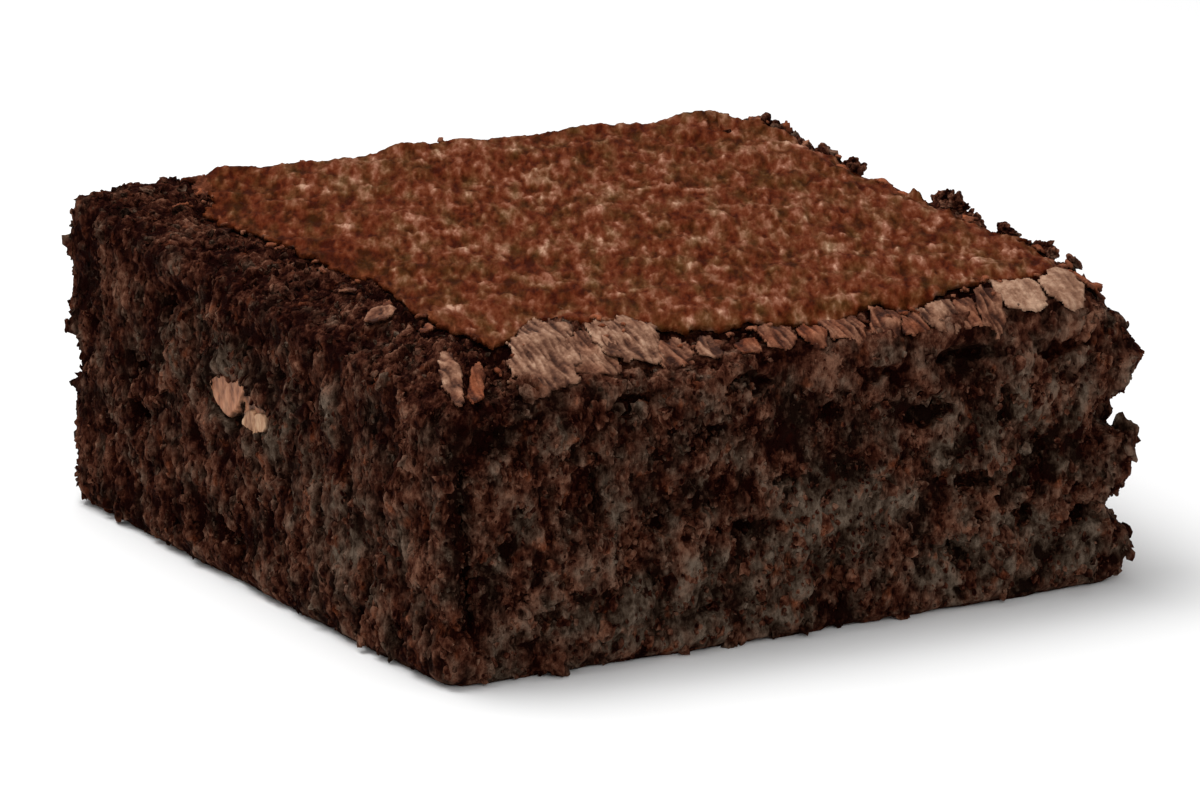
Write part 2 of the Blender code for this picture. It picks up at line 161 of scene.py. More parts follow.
soft_lamp("lamp_above", (-0.12, 0.12, 0.50), 0.34, 2.6)
soft_lamp("lamp_front", (-0.22, -0.70, 0.45), 0.40, 1.5)

world = bpy.data.worlds.new("studio")
world.use_nodes = True
world.node_tree.nodes["Background"].inputs["Color"].default_value = (1.0, 1.0, 1.0, 1.0)
world.node_tree.nodes["Background"].inputs["Strength"].default_value = SKY
bpy.context.scene.world = world
bpy.context.scene.view_settings.view_transform = "Standard"

floor_finish = bpy.data.materials.new("pale_floor")
floor_finish.use_nodes = True
floor_shader = floor_finish.node_tree.nodes["Principled BSDF"]
floor_shader.inputs["Base Color"].default_value = (FLOOR_GREY, FLOOR_GREY, FLOOR_GREY, 1.0)
floor_shader.inputs["Roughness"].default_value = 0.9
floor_bm = bmesh.new()
bmesh.ops.create_grid(floor_bm, x_segments=1, y_segments=1, size=FLOOR_HALF_WIDTH)
bmesh.ops.translate(floor_bm, vec=(0, 0, -FLOOR_GAP), verts=floor_bm.verts)
floor = add_piece("floor", floor_bm, floor_finish, smooth=False)

# %% [markdown]
# A finish is a network of nodes. These helpers add a node, set its values and join its inputs, so
# that each finish below reads as a short recipe. Every pattern reads Object coordinates, in
# metres, so a scale of 1000 gives features of about a millimetre.

# %% Finish helpers
def start_finish(name, roughness, specular):
    """A new finish and its shader."""
    finish = bpy.data.materials.new(name)
    finish.use_nodes = True
    shader = finish.node_tree.nodes["Principled BSDF"]
    shader.inputs["Roughness"].default_value = roughness
    shader.inputs["Specular IOR Level"].default_value = specular
    return finish, shader


def put(finish, kind, values=None, links=None, **settings):
    """Adds a node to a finish, with values on some inputs and sockets joined to others."""
    node = finish.node_tree.nodes.new(kind)
    for key, value in settings.items():
        setattr(node, key, value)
    for key, value in (values or {}).items():
        node.inputs[key].default_value = value
    for key, socket in (links or {}).items():
        finish.node_tree.links.new(socket, node.inputs[key])
    return node


def speckle(finish, size_mm, detail=3.0, roughness=0.55, stretch=(1.0, 1.0, 1.0), turn=0.0, shift=0.0):
    """Noise whose features are about size_mm wide. Stretch lengthens them along axes turned about Z."""
    where = put(finish, "ShaderNodeTexCoord").outputs["Object"]
    laid = {"Scale": stretch, "Location": (shift, shift, shift), "Rotation": (0, 0, turn)}
    turned = put(finish, "ShaderNodeMapping", laid, {"Vector": where}, vector_type="TEXTURE")
    drawn = {"Scale": 1 / (size_mm * MM), "Detail": detail, "Roughness": roughness}
    pattern = put(finish, "ShaderNodeTexNoise", drawn, {"Vector": turned.outputs["Vector"]})
    return pattern.outputs["Fac"]


def ramp(finish, factor, stops):
    """Colours along a factor: stops are (place, colour)."""
    node = put(finish, "ShaderNodeValToRGB", links={"Fac": factor})
    elements = node.color_ramp.elements
    while len(elements) < len(stops):
        elements.new(0.5)
    for element, (place, colour) in zip(elements, stops):
        element.position = place
        element.color = (*colour, 1.0)
    return node.outputs["Color"]


def mixed(finish, factor, first, second):
    """Mixes two colours by a factor. All three are sockets, and a colour mix has them at 0, 6 and 7."""
    return put(finish, "ShaderNodeMix", links={0: factor, 6: first, 7: second}, data_type="RGBA").outputs[2]


def sums(finish, operation, first, second, clamp=False):
    """Works out one sum. Each side is a number or a socket."""
    node = put(finish, "ShaderNodeMath", operation=operation, use_clamp=clamp)
    for index, value in enumerate((first, second)):
        if isinstance(value, bpy.types.NodeSocket):
            finish.node_tree.links.new(value, node.inputs[index])
        else:
            node.inputs[index].default_value = value
    return node.outputs[0]


def scaled(finish, pattern, strength):
    return sums(finish, "MULTIPLY", pattern, strength)


def swing(finish, pattern, strength, middle=0.5, clamp=False):
    """How far a pattern is above or below its middle, times a strength."""
    return sums(finish, "MULTIPLY", sums(finish, "SUBTRACT", pattern, middle), strength, clamp)


def total(finish, first, *others):
    for other in others:
        first = sums(finish, "ADD", first, other)
    return first


def shade(finish, label):
    """Reads a number that each vertex of the piece carries."""
    return put(finish, "ShaderNodeAttribute", attribute_name=label).outputs["Fac"]


def join(finish, socket, shader, name):
    finish.node_tree.links.new(socket, shader.inputs[name])


def add_bump(finish, shader, heights):
    """Stacks bumps: heights are (socket, depth in mm)."""
    normal = None
    for height, depth in heights:
        node = put(finish, "ShaderNodeBump", {"Strength": 1.0, "Distance": depth * MM}, {"Height": height})
        if normal is not None:
            finish.node_tree.links.new(normal, node.inputs["Normal"])
        normal = node.outputs["Normal"]
    join(finish, normal, shader, "Normal")


# %% [markdown]
# ## The crumb finish
# The crumb's colour is painted nearly black in its pits, a painted shade, and greyish brown where grains catch the
# light, a painted highlight. One shade, `hollow`, says how deep a point lies between the clumps, and another,
# `greyness`, says where the crumb is dense and ashen rather than loose and red. Noise at five scales breaks both
# up, and a few russet spots glow among them.

# %% Crumb finish
# Colours from pit to crown: how bright the tone is, and the colour. Dark pits are painted shade and pale crowns
# painted highlight.
RED_CRUMB = ((0.14, (0.0080, 0.0009, 0.0004)), (0.38, (0.0320, 0.0080, 0.0040)),
             (0.62, (0.0780, 0.0270, 0.0150)), (0.95, (0.1750, 0.0800, 0.0490)))
GREY_CRUMB = ((0.14, (0.0085, 0.0034, 0.0018)), (0.38, (0.0300, 0.0168, 0.0105)),
              (0.62, (0.0680, 0.0450, 0.0310)), (0.95, (0.1450, 0.1040, 0.0760)))
RUSSET_CRUMB = ((0.2, (0.0180, 0.0025, 0.0008)), (0.6, (0.1150, 0.0270, 0.0090)),
                (0.95, (0.2400, 0.0750, 0.0340)))
CRUMB_TONE = 0.09


def crumb_finish(name, lift):
    """The finish of crumb. Lift makes it that much darker."""
    finish, shader = start_finish(name, 0.8, 0.02)
    grain = speckle(finish, 0.75, roughness=0.6)
    upright = speckle(finish, 0.75, roughness=0.6, stretch=(1.0, 1.0, 2.0), shift=7.0)
    patch = speckle(finish, 2.4, stretch=(1.0, 1.0, 1.4), shift=3.0)
    broad = speckle(finish, 3.4, stretch=(1.0, 1.0, 1.3), shift=12.0)
    thread = speckle(finish, 0.28, detail=2.0, stretch=(1.0, 1.0, 2.4), shift=27.0)
    # Crowns, where `hollow` is low, are painted lighter and pits darker: painted highlight and painted shade.
    crown = sums(finish, "SUBTRACT", 1.0, shade(finish, "hollow"))
    spots = total(finish, swing(finish, total(finish, grain, upright), 0.95, middle=1.0),
                  swing(finish, thread, 0.7))
    tone = total(finish, scaled(finish, crown, 0.72), spots, swing(finish, broad, 1.2), CRUMB_TONE - lift)
    ashen = sums(finish, "ADD", shade(finish, "greyness"), swing(finish, patch, 3.4), clamp=True)
    baked = mixed(finish, ashen, ramp(finish, tone, RED_CRUMB), ramp(finish, tone, GREY_CRUMB))
    ember = speckle(finish, 1.5, detail=2.0, stretch=(1.0, 1.0, 1.5), shift=20.0)
    ember = swing(finish, ember, 5.0, middle=0.60, clamp=True)
    join(finish, mixed(finish, ember, baked, ramp(finish, tone, RUSSET_CRUMB)), shader, "Base Color")
    fine = speckle(finish, 0.22, detail=2.0, shift=1.0)
    add_bump(finish, shader, ((grain, 0.35), (thread, 0.16), (fine, 0.16)))
    return finish


crumb = crumb_finish("baked_crumb", 0.0)
print("crumb finish nodes:", len(crumb.node_tree.nodes))

# %% [markdown]
# ## The loaf
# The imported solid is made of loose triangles. A copy of it is merged, remeshed into even small
# faces and smoothed. This soft form, the loaf, isn't shown: the crumb, the crust and the flakes
# are laid on it by casting rays, so every one of them keeps the solid's form. Only the right
# shoulder is lowered a little, because it lies lower in the photograph than in the solid.

# %% The loaf
LOAF_GRAIN = 0.6 * MM
MERGE_WITHIN = 0.001 * MM
# How much lower than the solid the right shoulder lies in the photograph: place from front to
# back, millimetres. The drop grows from zero at these places, over these widths.
DROP_PAST_X, DROP_OVER_X = 31, 3.5
DROP_PAST_Z, DROP_OVER_Z = 20, 5
RIGHT_DROP = ((-36, 1.8), (-31.9, 1.8), (-29.5, 0.6), (-26, 0.3), (-20, 0.0), (-14, 0.1), (-11, 0.8),
              (-8, 0.4), (-4.5, 0.2),
              (-2.2, 0.8), (-1.2, 1.8), (0.2, 1.5), (3, 1.0), (6.6, 1.5), (8.7, 1.9), (11.8, 1.6),
              (14.5, 1.3), (16.5, 0.6),
              (24, 0.5), (28, 0.6), (33, 0.9))

loaf_bm = bmesh.new()
loaf_bm.from_mesh(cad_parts["brownie"].data)
bmesh.ops.remove_doubles(loaf_bm, verts=loaf_bm.verts, dist=MERGE_WITHIN)
loaf_mesh = bpy.data.meshes.new("loaf")
loaf_bm.to_mesh(loaf_mesh)
loaf_bm.free()
loaf_object = bpy.data.objects.new("loaf", loaf_mesh)
bpy.context.scene.collection.objects.link(loaf_object)
even = loaf_object.modifiers.new("even", "REMESH")
even.mode = "VOXEL"
even.voxel_size = LOAF_GRAIN
soften = loaf_object.modifiers.new("soften", "SMOOTH")
soften.factor = 0.5
soften.iterations = 5
graph = bpy.context.evaluated_depsgraph_get()
soft_mesh = bpy.data.meshes.new_from_object(loaf_object.evaluated_get(graph))
soft_bm = bmesh.new()
soft_bm.from_mesh(soft_mesh)
for vert in soft_bm.verts:
    sideways = ease((vert.co.x / MM - DROP_PAST_X) / DROP_OVER_X)
    upwards = ease((vert.co.z / MM - DROP_PAST_Z) / DROP_OVER_Z)
    vert.co.z -= read_table(RIGHT_DROP, vert.co.y / MM) * sideways * upwards * MM
loaf = BVHTree.FromBMesh(soft_bm)
soft_bm.free()
bpy.data.meshes.remove(soft_mesh)
bpy.data.objects.remove(loaf_object, do_unlink=True)
bpy.data.meshes.remove(loaf_mesh)

# %% [markdown]
# Two rays do the laying. One slides a place on a side inwards until it meets the loaf. The other
# falls from above and reads the height of the top.

# %% Rays onto the loaf
REACH = 14 * MM
ABOVE_ALL = 40 * MM


def onto_loaf(place, outward):
    """Slides a point inwards along a ray until it meets the loaf."""
    spot = loaf.ray_cast(place + outward * REACH, -outward)[0]
    return spot if spot is not None else place


def loaf_top(x, y):
    """The height of the loaf's top over a place in plan. Beside the loaf it is a usual height."""
    spot = loaf.ray_cast(Vector((x, y, ABOVE_ALL)), -UP)[0]
    return spot.z if spot is not None else 26 * MM


print("crust height over the middle, mm:", round(loaf_top(0, 0) / MM, 2))

# %% [markdown]
# ## Where things are
# The photograph fixes these places: how far in from each cut the crust ends, the ashen and the
# red parts of the crumb, and the deep gaps. They are in millimetres in the solids' own frame.

# %% Places
# The crust's left border: depth from front to back, and how far right it starts.
CRUST_LEFT = ((-29, -25.2), (-28.4, -26.3), (-25, -26.9), (-20, -27.9), (-14, -27.4), (-11, -26.9),
              (-5, -25.7),
              (-2, -27.2), (3, -28.2), (8, -28.2), (12, -27.9), (17, -29.0), (21, -29.4), (24, -26.4),
              (28, -25.4), (33, -25.0))
# Its front border: place from left to right, and how far from the front it ends.
CRUST_FRONT = ((-26, -28.6), (-24, -28.2), (-22, -26.6), (-19.5, -24.0), (-18, -24.3), (-16.5, -27.2),
               (-14, -27.8),
               (-12, -27.0), (-10.5, -29.0), (-8.3, -30.6), (-4.2, -31.6), (0.4, -32.4), (5, -32.6),
               (8, -32.8), (11, -31.7),
               (13.2, -32.8), (16, -32.6), (19, -31.4), (21.3, -31.0), (25.2, -31.2), (28.5, -31.0),
               (31, -29.4), (34, -27.0))
# Its right border, from front to back.
CRUST_RIGHT = ((-29, 32.6), (-24, 34.0), (-18, 34.2), (-13, 33.4), (-8, 33.0), (-3, 33.4), (2, 35.2),
               (7, 35.4),
               (11, 34.4), (17, 34.6), (24, 34.0), (28, 33.2), (31, 31.6))
CRUST_BACK = 34.6

# A slit in the crust near its back right corner, from one end to the other.
SLIT = ((27.6, 26.6), (30.4, 33.0))
SLIT_WIDTH = 0.28

# Deep gaps in the crumb: place along the side, height, half width, half height, depth.
# Gaps are also painted darker through `hollow`, as painted shade.
GAPS = {
    "front": (
        (-32.4, 15.6, 1.2, 5.0, 1.6), (-31.6, 8.0, 1.2, 3.6, 1.6), (-29.2, 22.0, 2.6, 1.6, 0.9),
        (-28.0, 12.0, 1.0, 1.4, 0.9),
        (-19.0, 16.4, 0.8, 3.2, 1.2), (-13.0, 12.2, 1.8, 1.0, 1.3), (-5.4, 10.7, 2.4, 0.7, 1.1),
        (-0.3, 14.4, 2.0, 0.6, 0.9),
        (19.2, 11.5, 2.0, 1.0, 1.2), (25.9, 12.4, 0.9, 3.0, 1.3), (24.2, 7.6, 1.0, 1.6, 1.0),
        (30.6, 6.9, 1.6, 1.1, 1.4),
        (17.4, 5.3, 0.8, 1.4, 1.0), (14.3, 18.5, 2.6, 1.2, 1.2), (17.9, 23.4, 3.8, 0.9, 1.2),
        (-4.0, 24.0, 2.8, 0.9, 1.3),
        (-15.0, 23.6, 2.6, 0.9, 1.3), (9.0, 23.2, 2.2, 0.8, 1.1), (27.5, 22.4, 2.6, 0.9, 1.1),
        (-8.0, 19.5, 1.2, 1.6, 1.0),
        (4.5, 19.8, 1.6, 0.9, 0.9), (22.0, 18.6, 1.2, 1.8, 1.0), (-24.0, 5.5, 1.8, 0.9, 0.9),
    ),
    "left": (
        (21.4, 15.7, 1.4, 1.2, 1.3), (20.2, 11.8, 1.6, 1.2, 1.3), (2.4, 3.4, 0.9, 2.4, 1.1),
        (-21.5, 6.8, 0.8, 2.4, 1.0),
        (-24.0, 13.9, 0.7, 2.2, 0.8), (15.3, 23.6, 2.6, 1.4, 0.7), (-6.0, 21.8, 1.6, 0.8, 0.6),
        (12.0, 6.0, 0.8, 1.6, 0.7),
        (-14.0, 12.0, 0.6, 1.8, 0.6), (1.6, 15.2, 1.4, 0.6, 1.2), (27.0, 9.0, 1.0, 1.4, 0.8),
        (8.0, 10.0, 0.9, 1.3, 0.7),
        (-28.0, 20.0, 0.9, 1.4, 0.7), (-2.0, 9.5, 0.7, 1.5, 0.6),
    ),
}

# Ashen patches of dense crumb: place along the side, height, half width, half height, greyness.
ASHEN = {
    "front": (
        (5.1, 10.6, 7.5, 5.4, 1.0), (22.0, 15.0, 9.0, 6.0, 0.4), (-8.0, 4.5, 16.0, 5.0, 0.6),
        (24.0, 4.0, 12.0, 5.0, 0.6),
    ),
    "left": (
        (-12.0, 17.0, 12.0, 7.0, 0.45), (3.0, 20.5, 6.0, 3.5, 0.7), (-22.0, 10.0, 9.0, 7.0, 0.4),
        (14.0, 18.0, 6.0, 5.0, 0.3),
    ),
}


print("gaps:", sum(len(rows) for rows in GAPS.values()),
      "ashen patches:", sum(len(rows) for rows in ASHEN.values()))

# %% [markdown]
# The crust's border isn't cut but torn. The tables above give its large bays, and three sizes of
# noise fray it: the wide ones make bays, the narrow ones the jagged edge. A mask in an image would
# do the same, but a distance in millimetres also serves the crack, the curl and the rim's colour.

# %% Where the crust ends
# Within this distance of its border the crust is torn, in mm.
TORN_WITHIN = 3.0
# Tears: width, depth and where in the noise they are taken.
TEARS = ((1.7, 0.8, 4.0), (0.6, 0.8, 8.0), (0.3, 0.4, 6.0))
CALM_FRONT = -20
CLEAN_BACK, CLEAN_OVER = 33.5, 3
SLIT_AREA = 20
BACK_SLANT = 0.02
LEFT_END = -36


def slit_distance(x_mm, y_mm):
    """How far a place is from the slit, in mm."""
    (ax, ay), (bx, by) = SLIT
    share = limited(((x_mm - ax) * (bx - ax) + (y_mm - ay) * (by - ay)) / ((bx - ax) ** 2 + (by - ay) ** 2))
    return math.hypot(x_mm - between(ax, bx, share), y_mm - between(ay, by, share))


def crust_inside(x, y):
    """How far inside the crust's broken border a place lies, in mm. Outside it is negative."""
    x_mm, y_mm = x / MM, y / MM
    inside = min(x_mm - read_table(CRUST_LEFT, y_mm), y_mm - read_table(CRUST_FRONT, x_mm),
                 read_table(CRUST_RIGHT, y_mm) - x_mm,
                 CRUST_BACK - y_mm + BACK_SLANT * (x_mm - LEFT_END))
    if inside > TORN_WITHIN:
        return inside if y_mm < SLIT_AREA else min(inside, slit_distance(x_mm, y_mm) - SLIT_WIDTH)
    ragged = ease((CLEAN_BACK - y_mm) / CLEAN_OVER)
    frayed = 0.6 if y_mm < CALM_FRONT else 1.1
    inside += ragged * frayed * sum(depth * noise.noise(Vector((x_mm / width, y_mm / width, shift)))
                                    for width, depth, shift in TEARS)
    return min(inside, slit_distance(x_mm, y_mm) - SLIT_WIDTH)


print("crust inside its border in the middle, mm:", round(crust_inside(0, 0), 1))

# %% [markdown]
# Along the front shoulder lie plates of broken crust, and two slender flakes stand at the left
# corner. The photograph fixes each one. They are listed here, before the crumb is made, because
# the crumb is pressed flat under them.

# %% Where the plates lie
# Place in plan, half length along the edge, half width down the slope, turn in degrees, how
# russet the plate is, and how far its lower rim stands off the slope, in millimetres. A russet
# share below 0 makes a plate paler instead.
PLATES = (
    (-21.9, -29.7, 3.9, 5.8, -25, -0.05, 0.2), (-17.2, -31.2, 3.0, 3.2, -20, 0.15, 0.0),
    (-13.4, -30.1, 3.6, 3.6, -28, -0.05, 0.2),
    (-10.0, -32.6, 2.1, 2.0, -15, 0.4, 0.1), (-6.9, -33.3, 1.4, 2.0, -35, 0.15, 0.2),
    (-3.4, -34.1, 1.5, 1.3, -20, 0.8, 0.1),
    (-0.4, -34.0, 2.1, 1.9, -22, 0.6, 0.1), (3.0, -34.3, 1.6, 1.5, -30, 0.8, 0.1),
    (6.4, -33.9, 2.4, 2.3, -12, 0.55, 0.0),
    (10.6, -33.9, 1.7, 2.4, -28, 0.45, 0.2), (13.1, -34.3, 1.6, 2.0, -15, 0.7, 0.1),
    (16.1, -34.1, 2.4, 2.4, -25, 0.0, 0.3),
    (18.8, -34.2, 1.4, 2.2, 0, 0.5, 0.1), (21.2, -34.1, 1.7, 2.9, -22, 0.35, 0.2),
    (24.9, -33.1, 3.1, 3.0, -20, -0.30, 0.2), (29.3, -32.9, 2.9, 3.0, -30, -0.25, 0.2),
    (32.6, -31.5, 1.9, 2.3, -10, 0.75, 0.3), (34.0, -29.2, 1.5, 1.6, 20, 0.85, 0.3),
    (-31.2, -31.1, 1.15, 3.8, -16, 0.15, 0.6), (-29.4, -32.1, 0.95, 3.6, -34, 0.9, 0.6),
    (-29.8, -8.8, 1.0, 1.0, -30, 0.4, 0.2),
    (-30.3, -16.2, 1.5, 2.0, -40, 0.3, 0.4), (-29.9, 23.5, 1.1, 0.9, -20, 0.9, 0.4),
    (-28.8, -21.9, 0.8, 1.4, -30, 0.8, 0.2),
)


def plate_reach(place, row):
    """How far a place is from a plate's middle: 1 is about its rim."""
    x, y, half_length, half_width, turn = row[:5]
    cos, sin = math.cos(math.radians(turn)), math.sin(math.radians(turn))
    warp = noise.noise_vector(place / (1.4 * MM)) * 0.5 + noise.noise_vector(place / (0.5 * MM)) * 0.2
    dx, dy = place.x / MM - x + warp.x, place.y / MM - y + warp.y
    return math.hypot((dx * cos + dy * sin) / half_length, (dy * cos - dx * sin) / half_width)


print("plates and flakes:", len(PLATES))

# %% [markdown]
# ## The crumb's relief
# Crumb is clumps of grains with gaps between them. Coarse clods come from a Voronoi pattern: each
# point's distance to the nearest clod's middle is turned into a dome, and warping the pattern
# makes the clods craggy. Billows, which are folded noise, add the grains, and small pits go
# deeper. The front broke into coarse clods, while the left side was cut cleaner and shows fine
# upright grains, so each side mixes the sizes its own way.

# %% Relief of the crumb
CLOD_WIDTH = 0.75
# For each side: the size and height of clods, of billows and of pits, in mm.
CRUMB_SIZES = {
    "front": ((4.8, 1.20), (1.70, 0.62), (1.5, 0.55)),
    "left": ((4.2, 0.75), (1.50, 0.66), (1.6, 0.80)),
    "right": ((4.8, 1.10), (1.60, 0.60), (1.4, 0.55)),
    "back": ((4.0, 0.70), (1.45, 0.58), (1.4, 0.55)),
    "top": ((2.8, 0.60), (1.40, 0.80), (1.4, 0.80)),
}
SIDE_NORMALS = {"front": Vector((0, -1, 0)), "left": Vector((-1, 0, 0)), "right": Vector((1, 0, 0)),
                "back": Vector((0, 1, 0)), "top": UP}
UPRIGHT_GRAIN = {"front": 1.3, "left": 1.7, "right": 1.3, "back": 1.4, "top": 1.0}
# How ashen each side is all over, and how much darker it is painted as painted shade; below 0 it is painted paler
# as painted light.
SIDE_ASH = {"front": 0.36, "left": 0.17, "right": 0.2, "back": 0.1, "top": -0.25}
SIDE_SHADE = {"front": -0.09, "left": -0.03, "right": 0.0, "back": 0.0, "top": 0.08}
LEAST_SHARE = 0.04
# The crumb's hollow shade on even ground, and how much its relief changes it.
EVEN_HOLLOW = 0.50
HOLLOW_GAIN = 1.1
# Relief fades out towards the foot, below this height.
CALM_BELOW = 2.5 * MM


def clump(place, size, warp=0.35):
    """1 on the crown of a clump, 0 in the gaps between clumps."""
    cell = place / (size * MM)
    cell = cell + warp * noise.noise_vector(cell * 1.7) + 0.4 * warp * noise.noise_vector(cell * 4.3)
    nearest = noise.voronoi(cell)[0][0]
    return max(0.0, 1 - (nearest / CLOD_WIDTH) ** 2)


def oval(row, along, height):
    """1 in the middle of an oval on a side, 0 at its border."""
    at, up, half_width, half_height = row[:4]
    reach = ((along / MM - at) / half_width) ** 2 + ((height / MM - up) / half_height) ** 2
    return max(0.0, 1 - reach)


def facing(normal):
    """How much of a direction belongs to each side. The shares add up to 1."""
    shares = {side: max(0.0, normal.dot(out)) ** 2 for side, out in SIDE_NORMALS.items()}
    total = sum(shares.values())
    return {side: share / total for side, share in shares.items() if share > LEAST_SHARE * total}


# The nut's lobes on the left side: place along it, height, half width and half height, in mm.
NUT_SPOTS = ((3.8, 18.0, 3.6, 1.1), (3.8, 16.9, 2.6, 1.7), (-1.7, 16.3, 2.6, 0.9), (-1.2, 17.4, 2.2, 0.9))
NUT_HALO = 1.9
PIT_SHIFT = Vector((9, 9, 9))


def nut_edge(place):
    """How far a place on the left side is from the nut: 1 is its outline."""
    return min(math.hypot((place.y / MM - row[0]) / row[2], (place.z / MM - row[1]) / row[3]) for row in NUT_SPOTS)


def crumb_relief(place, normal):
    """How far the crumb stands out here in metres, how hollow it is, 0 to 1, and how ashen. The finish paints
    hollow places darker and crowns lighter: painted shade and painted highlight.
    """
    relief = grainy = ashen = painted_light_and_shade = 0.0
    ragged = 0.9 * MM * noise.noise_vector(place / (1.6 * MM))
    ragged += 0.4 * MM * noise.noise_vector(place / (0.7 * MM))
    for side, share in facing(normal).items():
        (clod, clod_height), (billow, billow_height), (pit, pit_depth) = CRUMB_SIZES[side]
        grain = Vector((place.x, place.y, place.z / UPRIGHT_GRAIN[side])) / MM
        along = (place.y + ragged.y) if side in ("left", "right") else (place.x + ragged.x)
        height = place.z + ragged.z
        gaps = sum(row[4] * ease(1.8 * oval(row, along, height)) for row in GAPS.get(side, ()))
        patches = [row[4] * ease(1.6 * oval(row, along, height)) for row in ASHEN.get(side, ())]
        ash = max(patches, default=0.0)
        clods = clod_height * (clump(grain * MM, clod, warp=0.5) - 0.5)
        folds = noise.turbulence(grain / billow, 3, True, amplitude_scale=0.65, frequency_scale=2.1) - 0.55
        folds *= billow_height * between(1.0, 0.65, ash)
        holes = pit_depth * ease((noise.noise(grain / pit + PIT_SHIFT) - 0.30) / 0.25)
        holes *= between(1.0, 0.3, ash)
        height_out = clods + folds - holes - gaps
        if side == "left":
            edge = nut_edge(place)
            height_out = between(-0.7, height_out, ease((edge - 0.86) / 0.2))
            ash = max(ash, 0.7 - 0.7 * ease((edge - 1.0) / (NUT_HALO - 1)))
        relief += share * height_out
        grainy += share * (0.55 * clods + folds - holes - 0.55 * gaps)
        ashen += share * (ash + SIDE_ASH[side])
        painted_light_and_shade += share * SIDE_SHADE[side]
    calm = between(0.35, 1.0, ease(place.z / CALM_BELOW))
    # Painted shade: the left side is darker towards the back, under the crust and at its foot, and
    # painted paler near the front. The front is darker at its left corner and painted paler at its foot.
    if normal.x < -0.5:
        painted_light_and_shade += 0.07 * ease((place.y / MM + 4) / 30) + 0.05 * ease((place.z / MM - 18) / 8)
        painted_light_and_shade += 0.05 * ease((9 - place.z / MM) / 5) - 0.04 * ease((-place.y / MM - 4) / 10)
    elif normal.y < -0.5:
        painted_light_and_shade += 0.09 * ease((-26 - place.x / MM) / 5) - 0.05 * ease((11 - place.z / MM) / 5)
    return relief * calm * MM, limited(EVEN_HOLLOW + painted_light_and_shade - HOLLOW_GAIN * grainy), ashen


# %% [markdown]
# ## The crumb
# It could be the solid itself with a finer mesh, but its faces differ in size. Here each side is
# a flat grid laid on the loaf like a strip of cloth: its columns go along the side and its rows
# go up the side and over the shoulder, to under the crust. The two sides that face the camera
# get narrower columns. The relief then moves every vertex. Neighbouring strips share their
# border's places, so no seam shows, and each strip is closed inside the loaf.

# %% The strips of crumb
SIDE_COLUMNS = {"front": 384, "left": 384, "right": 200, "back": 200}
ROWS = 200
SIDE_ROWS = 0.70
HALF_X = 36.9 * MM
HALF_Y = 36.2 * MM
SHOULDER_TOP = 29.0 * MM
ROUNDING = 7 * MM
UNDER_CRUST = 15 * MM
CRUST_DEPTH = 0.55 * MM
PLATE_DEPTH = 0.35 * MM
CRUST_STAIN = 0.6
LEFT_CUT = -35.6 * MM
CREVICE_OFFSET = 0.5
CREVICE_WIDTH = 0.75
CREVICE_REACH = 2
CREVICE_DEPTH = 1.2 * MM
FRONT_EDGE = -17 * MM
# How deep the crack is along the front, as a share: place from left to right, share.
CREVICE_FRONT = ((-27, 1.0), (-24.8, 1.0), (-23.8, 0.1), (-11.8, 0.1), (-10.8, 0.7), (-6, 0.6),
                 (-2.5, 1.0), (5, 1.0),
                 (7, 0.4), (12, 0.5), (16, 0.8), (20, 0.8), (22.5, 0.2), (34, 0.3))
# Each strip's border is drawn in towards the middle by this share, and closed there.
LIP_SCALE = 0.965
LIP_RISE = 0.35 * MM
# From this far in under the crust the crumb sinks, over this width, by this depth.
SINK_FROM = 12.5 * MM
SINK_OVER = 2.5 * MM
SINK_DEPTH = 1.5 * MM


def strip_ray(out, u, v):
    """A place on a rounded box round the loaf, and the direction that faces out of it there."""
    along = UP.cross(out)
    half_along, half_out = (HALF_X, HALF_Y) if out.y else (HALF_Y, HALF_X)
    inset = max(0.0, (v - SIDE_ROWS) / (1 - SIDE_ROWS)) * UNDER_CRUST
    height = min(1.0, v / SIDE_ROWS) * SHOULDER_TOP
    place = along * (2 * u - 1) * (half_along - inset) + out * (half_out - inset) + UP * height
    core = Vector((max(-(HALF_X - ROUNDING), min(HALF_X - ROUNDING, place.x)),
                   max(-(HALF_Y - ROUNDING), min(HALF_Y - ROUNDING, place.y)),
                   min(SHOULDER_TOP - ROUNDING, place.z)))
    return place, (place - core).normalized(), inset


def crevice(x, y, edge):
    """1 in the crack along the crust's border, which is sunk and darkened as a painted shadow, 0 away from it.
    Edge is how far inside, in mm.
    """
    if abs(edge + CREVICE_OFFSET) > CREVICE_REACH:
        return 0.0
    depth = between(0.35, 1.0, ease(0.5 + 1.2 * noise.noise(Vector((x, y, 0)) / (4.5 * MM))))
    if y < FRONT_EDGE:
        depth = read_table(CREVICE_FRONT, x / MM)
    return depth * math.exp(-((edge + CREVICE_OFFSET) / CREVICE_WIDTH) ** 2)


def extruded_border(bm):
    """Extrudes the border of an open mesh and gives back the new vertices."""
    border = [edge for edge in bm.edges if edge.is_boundary]
    made = bmesh.ops.extrude_edge_only(bm, edges=border)["geom"]
    return [item for item in made if isinstance(item, bmesh.types.BMVert)]


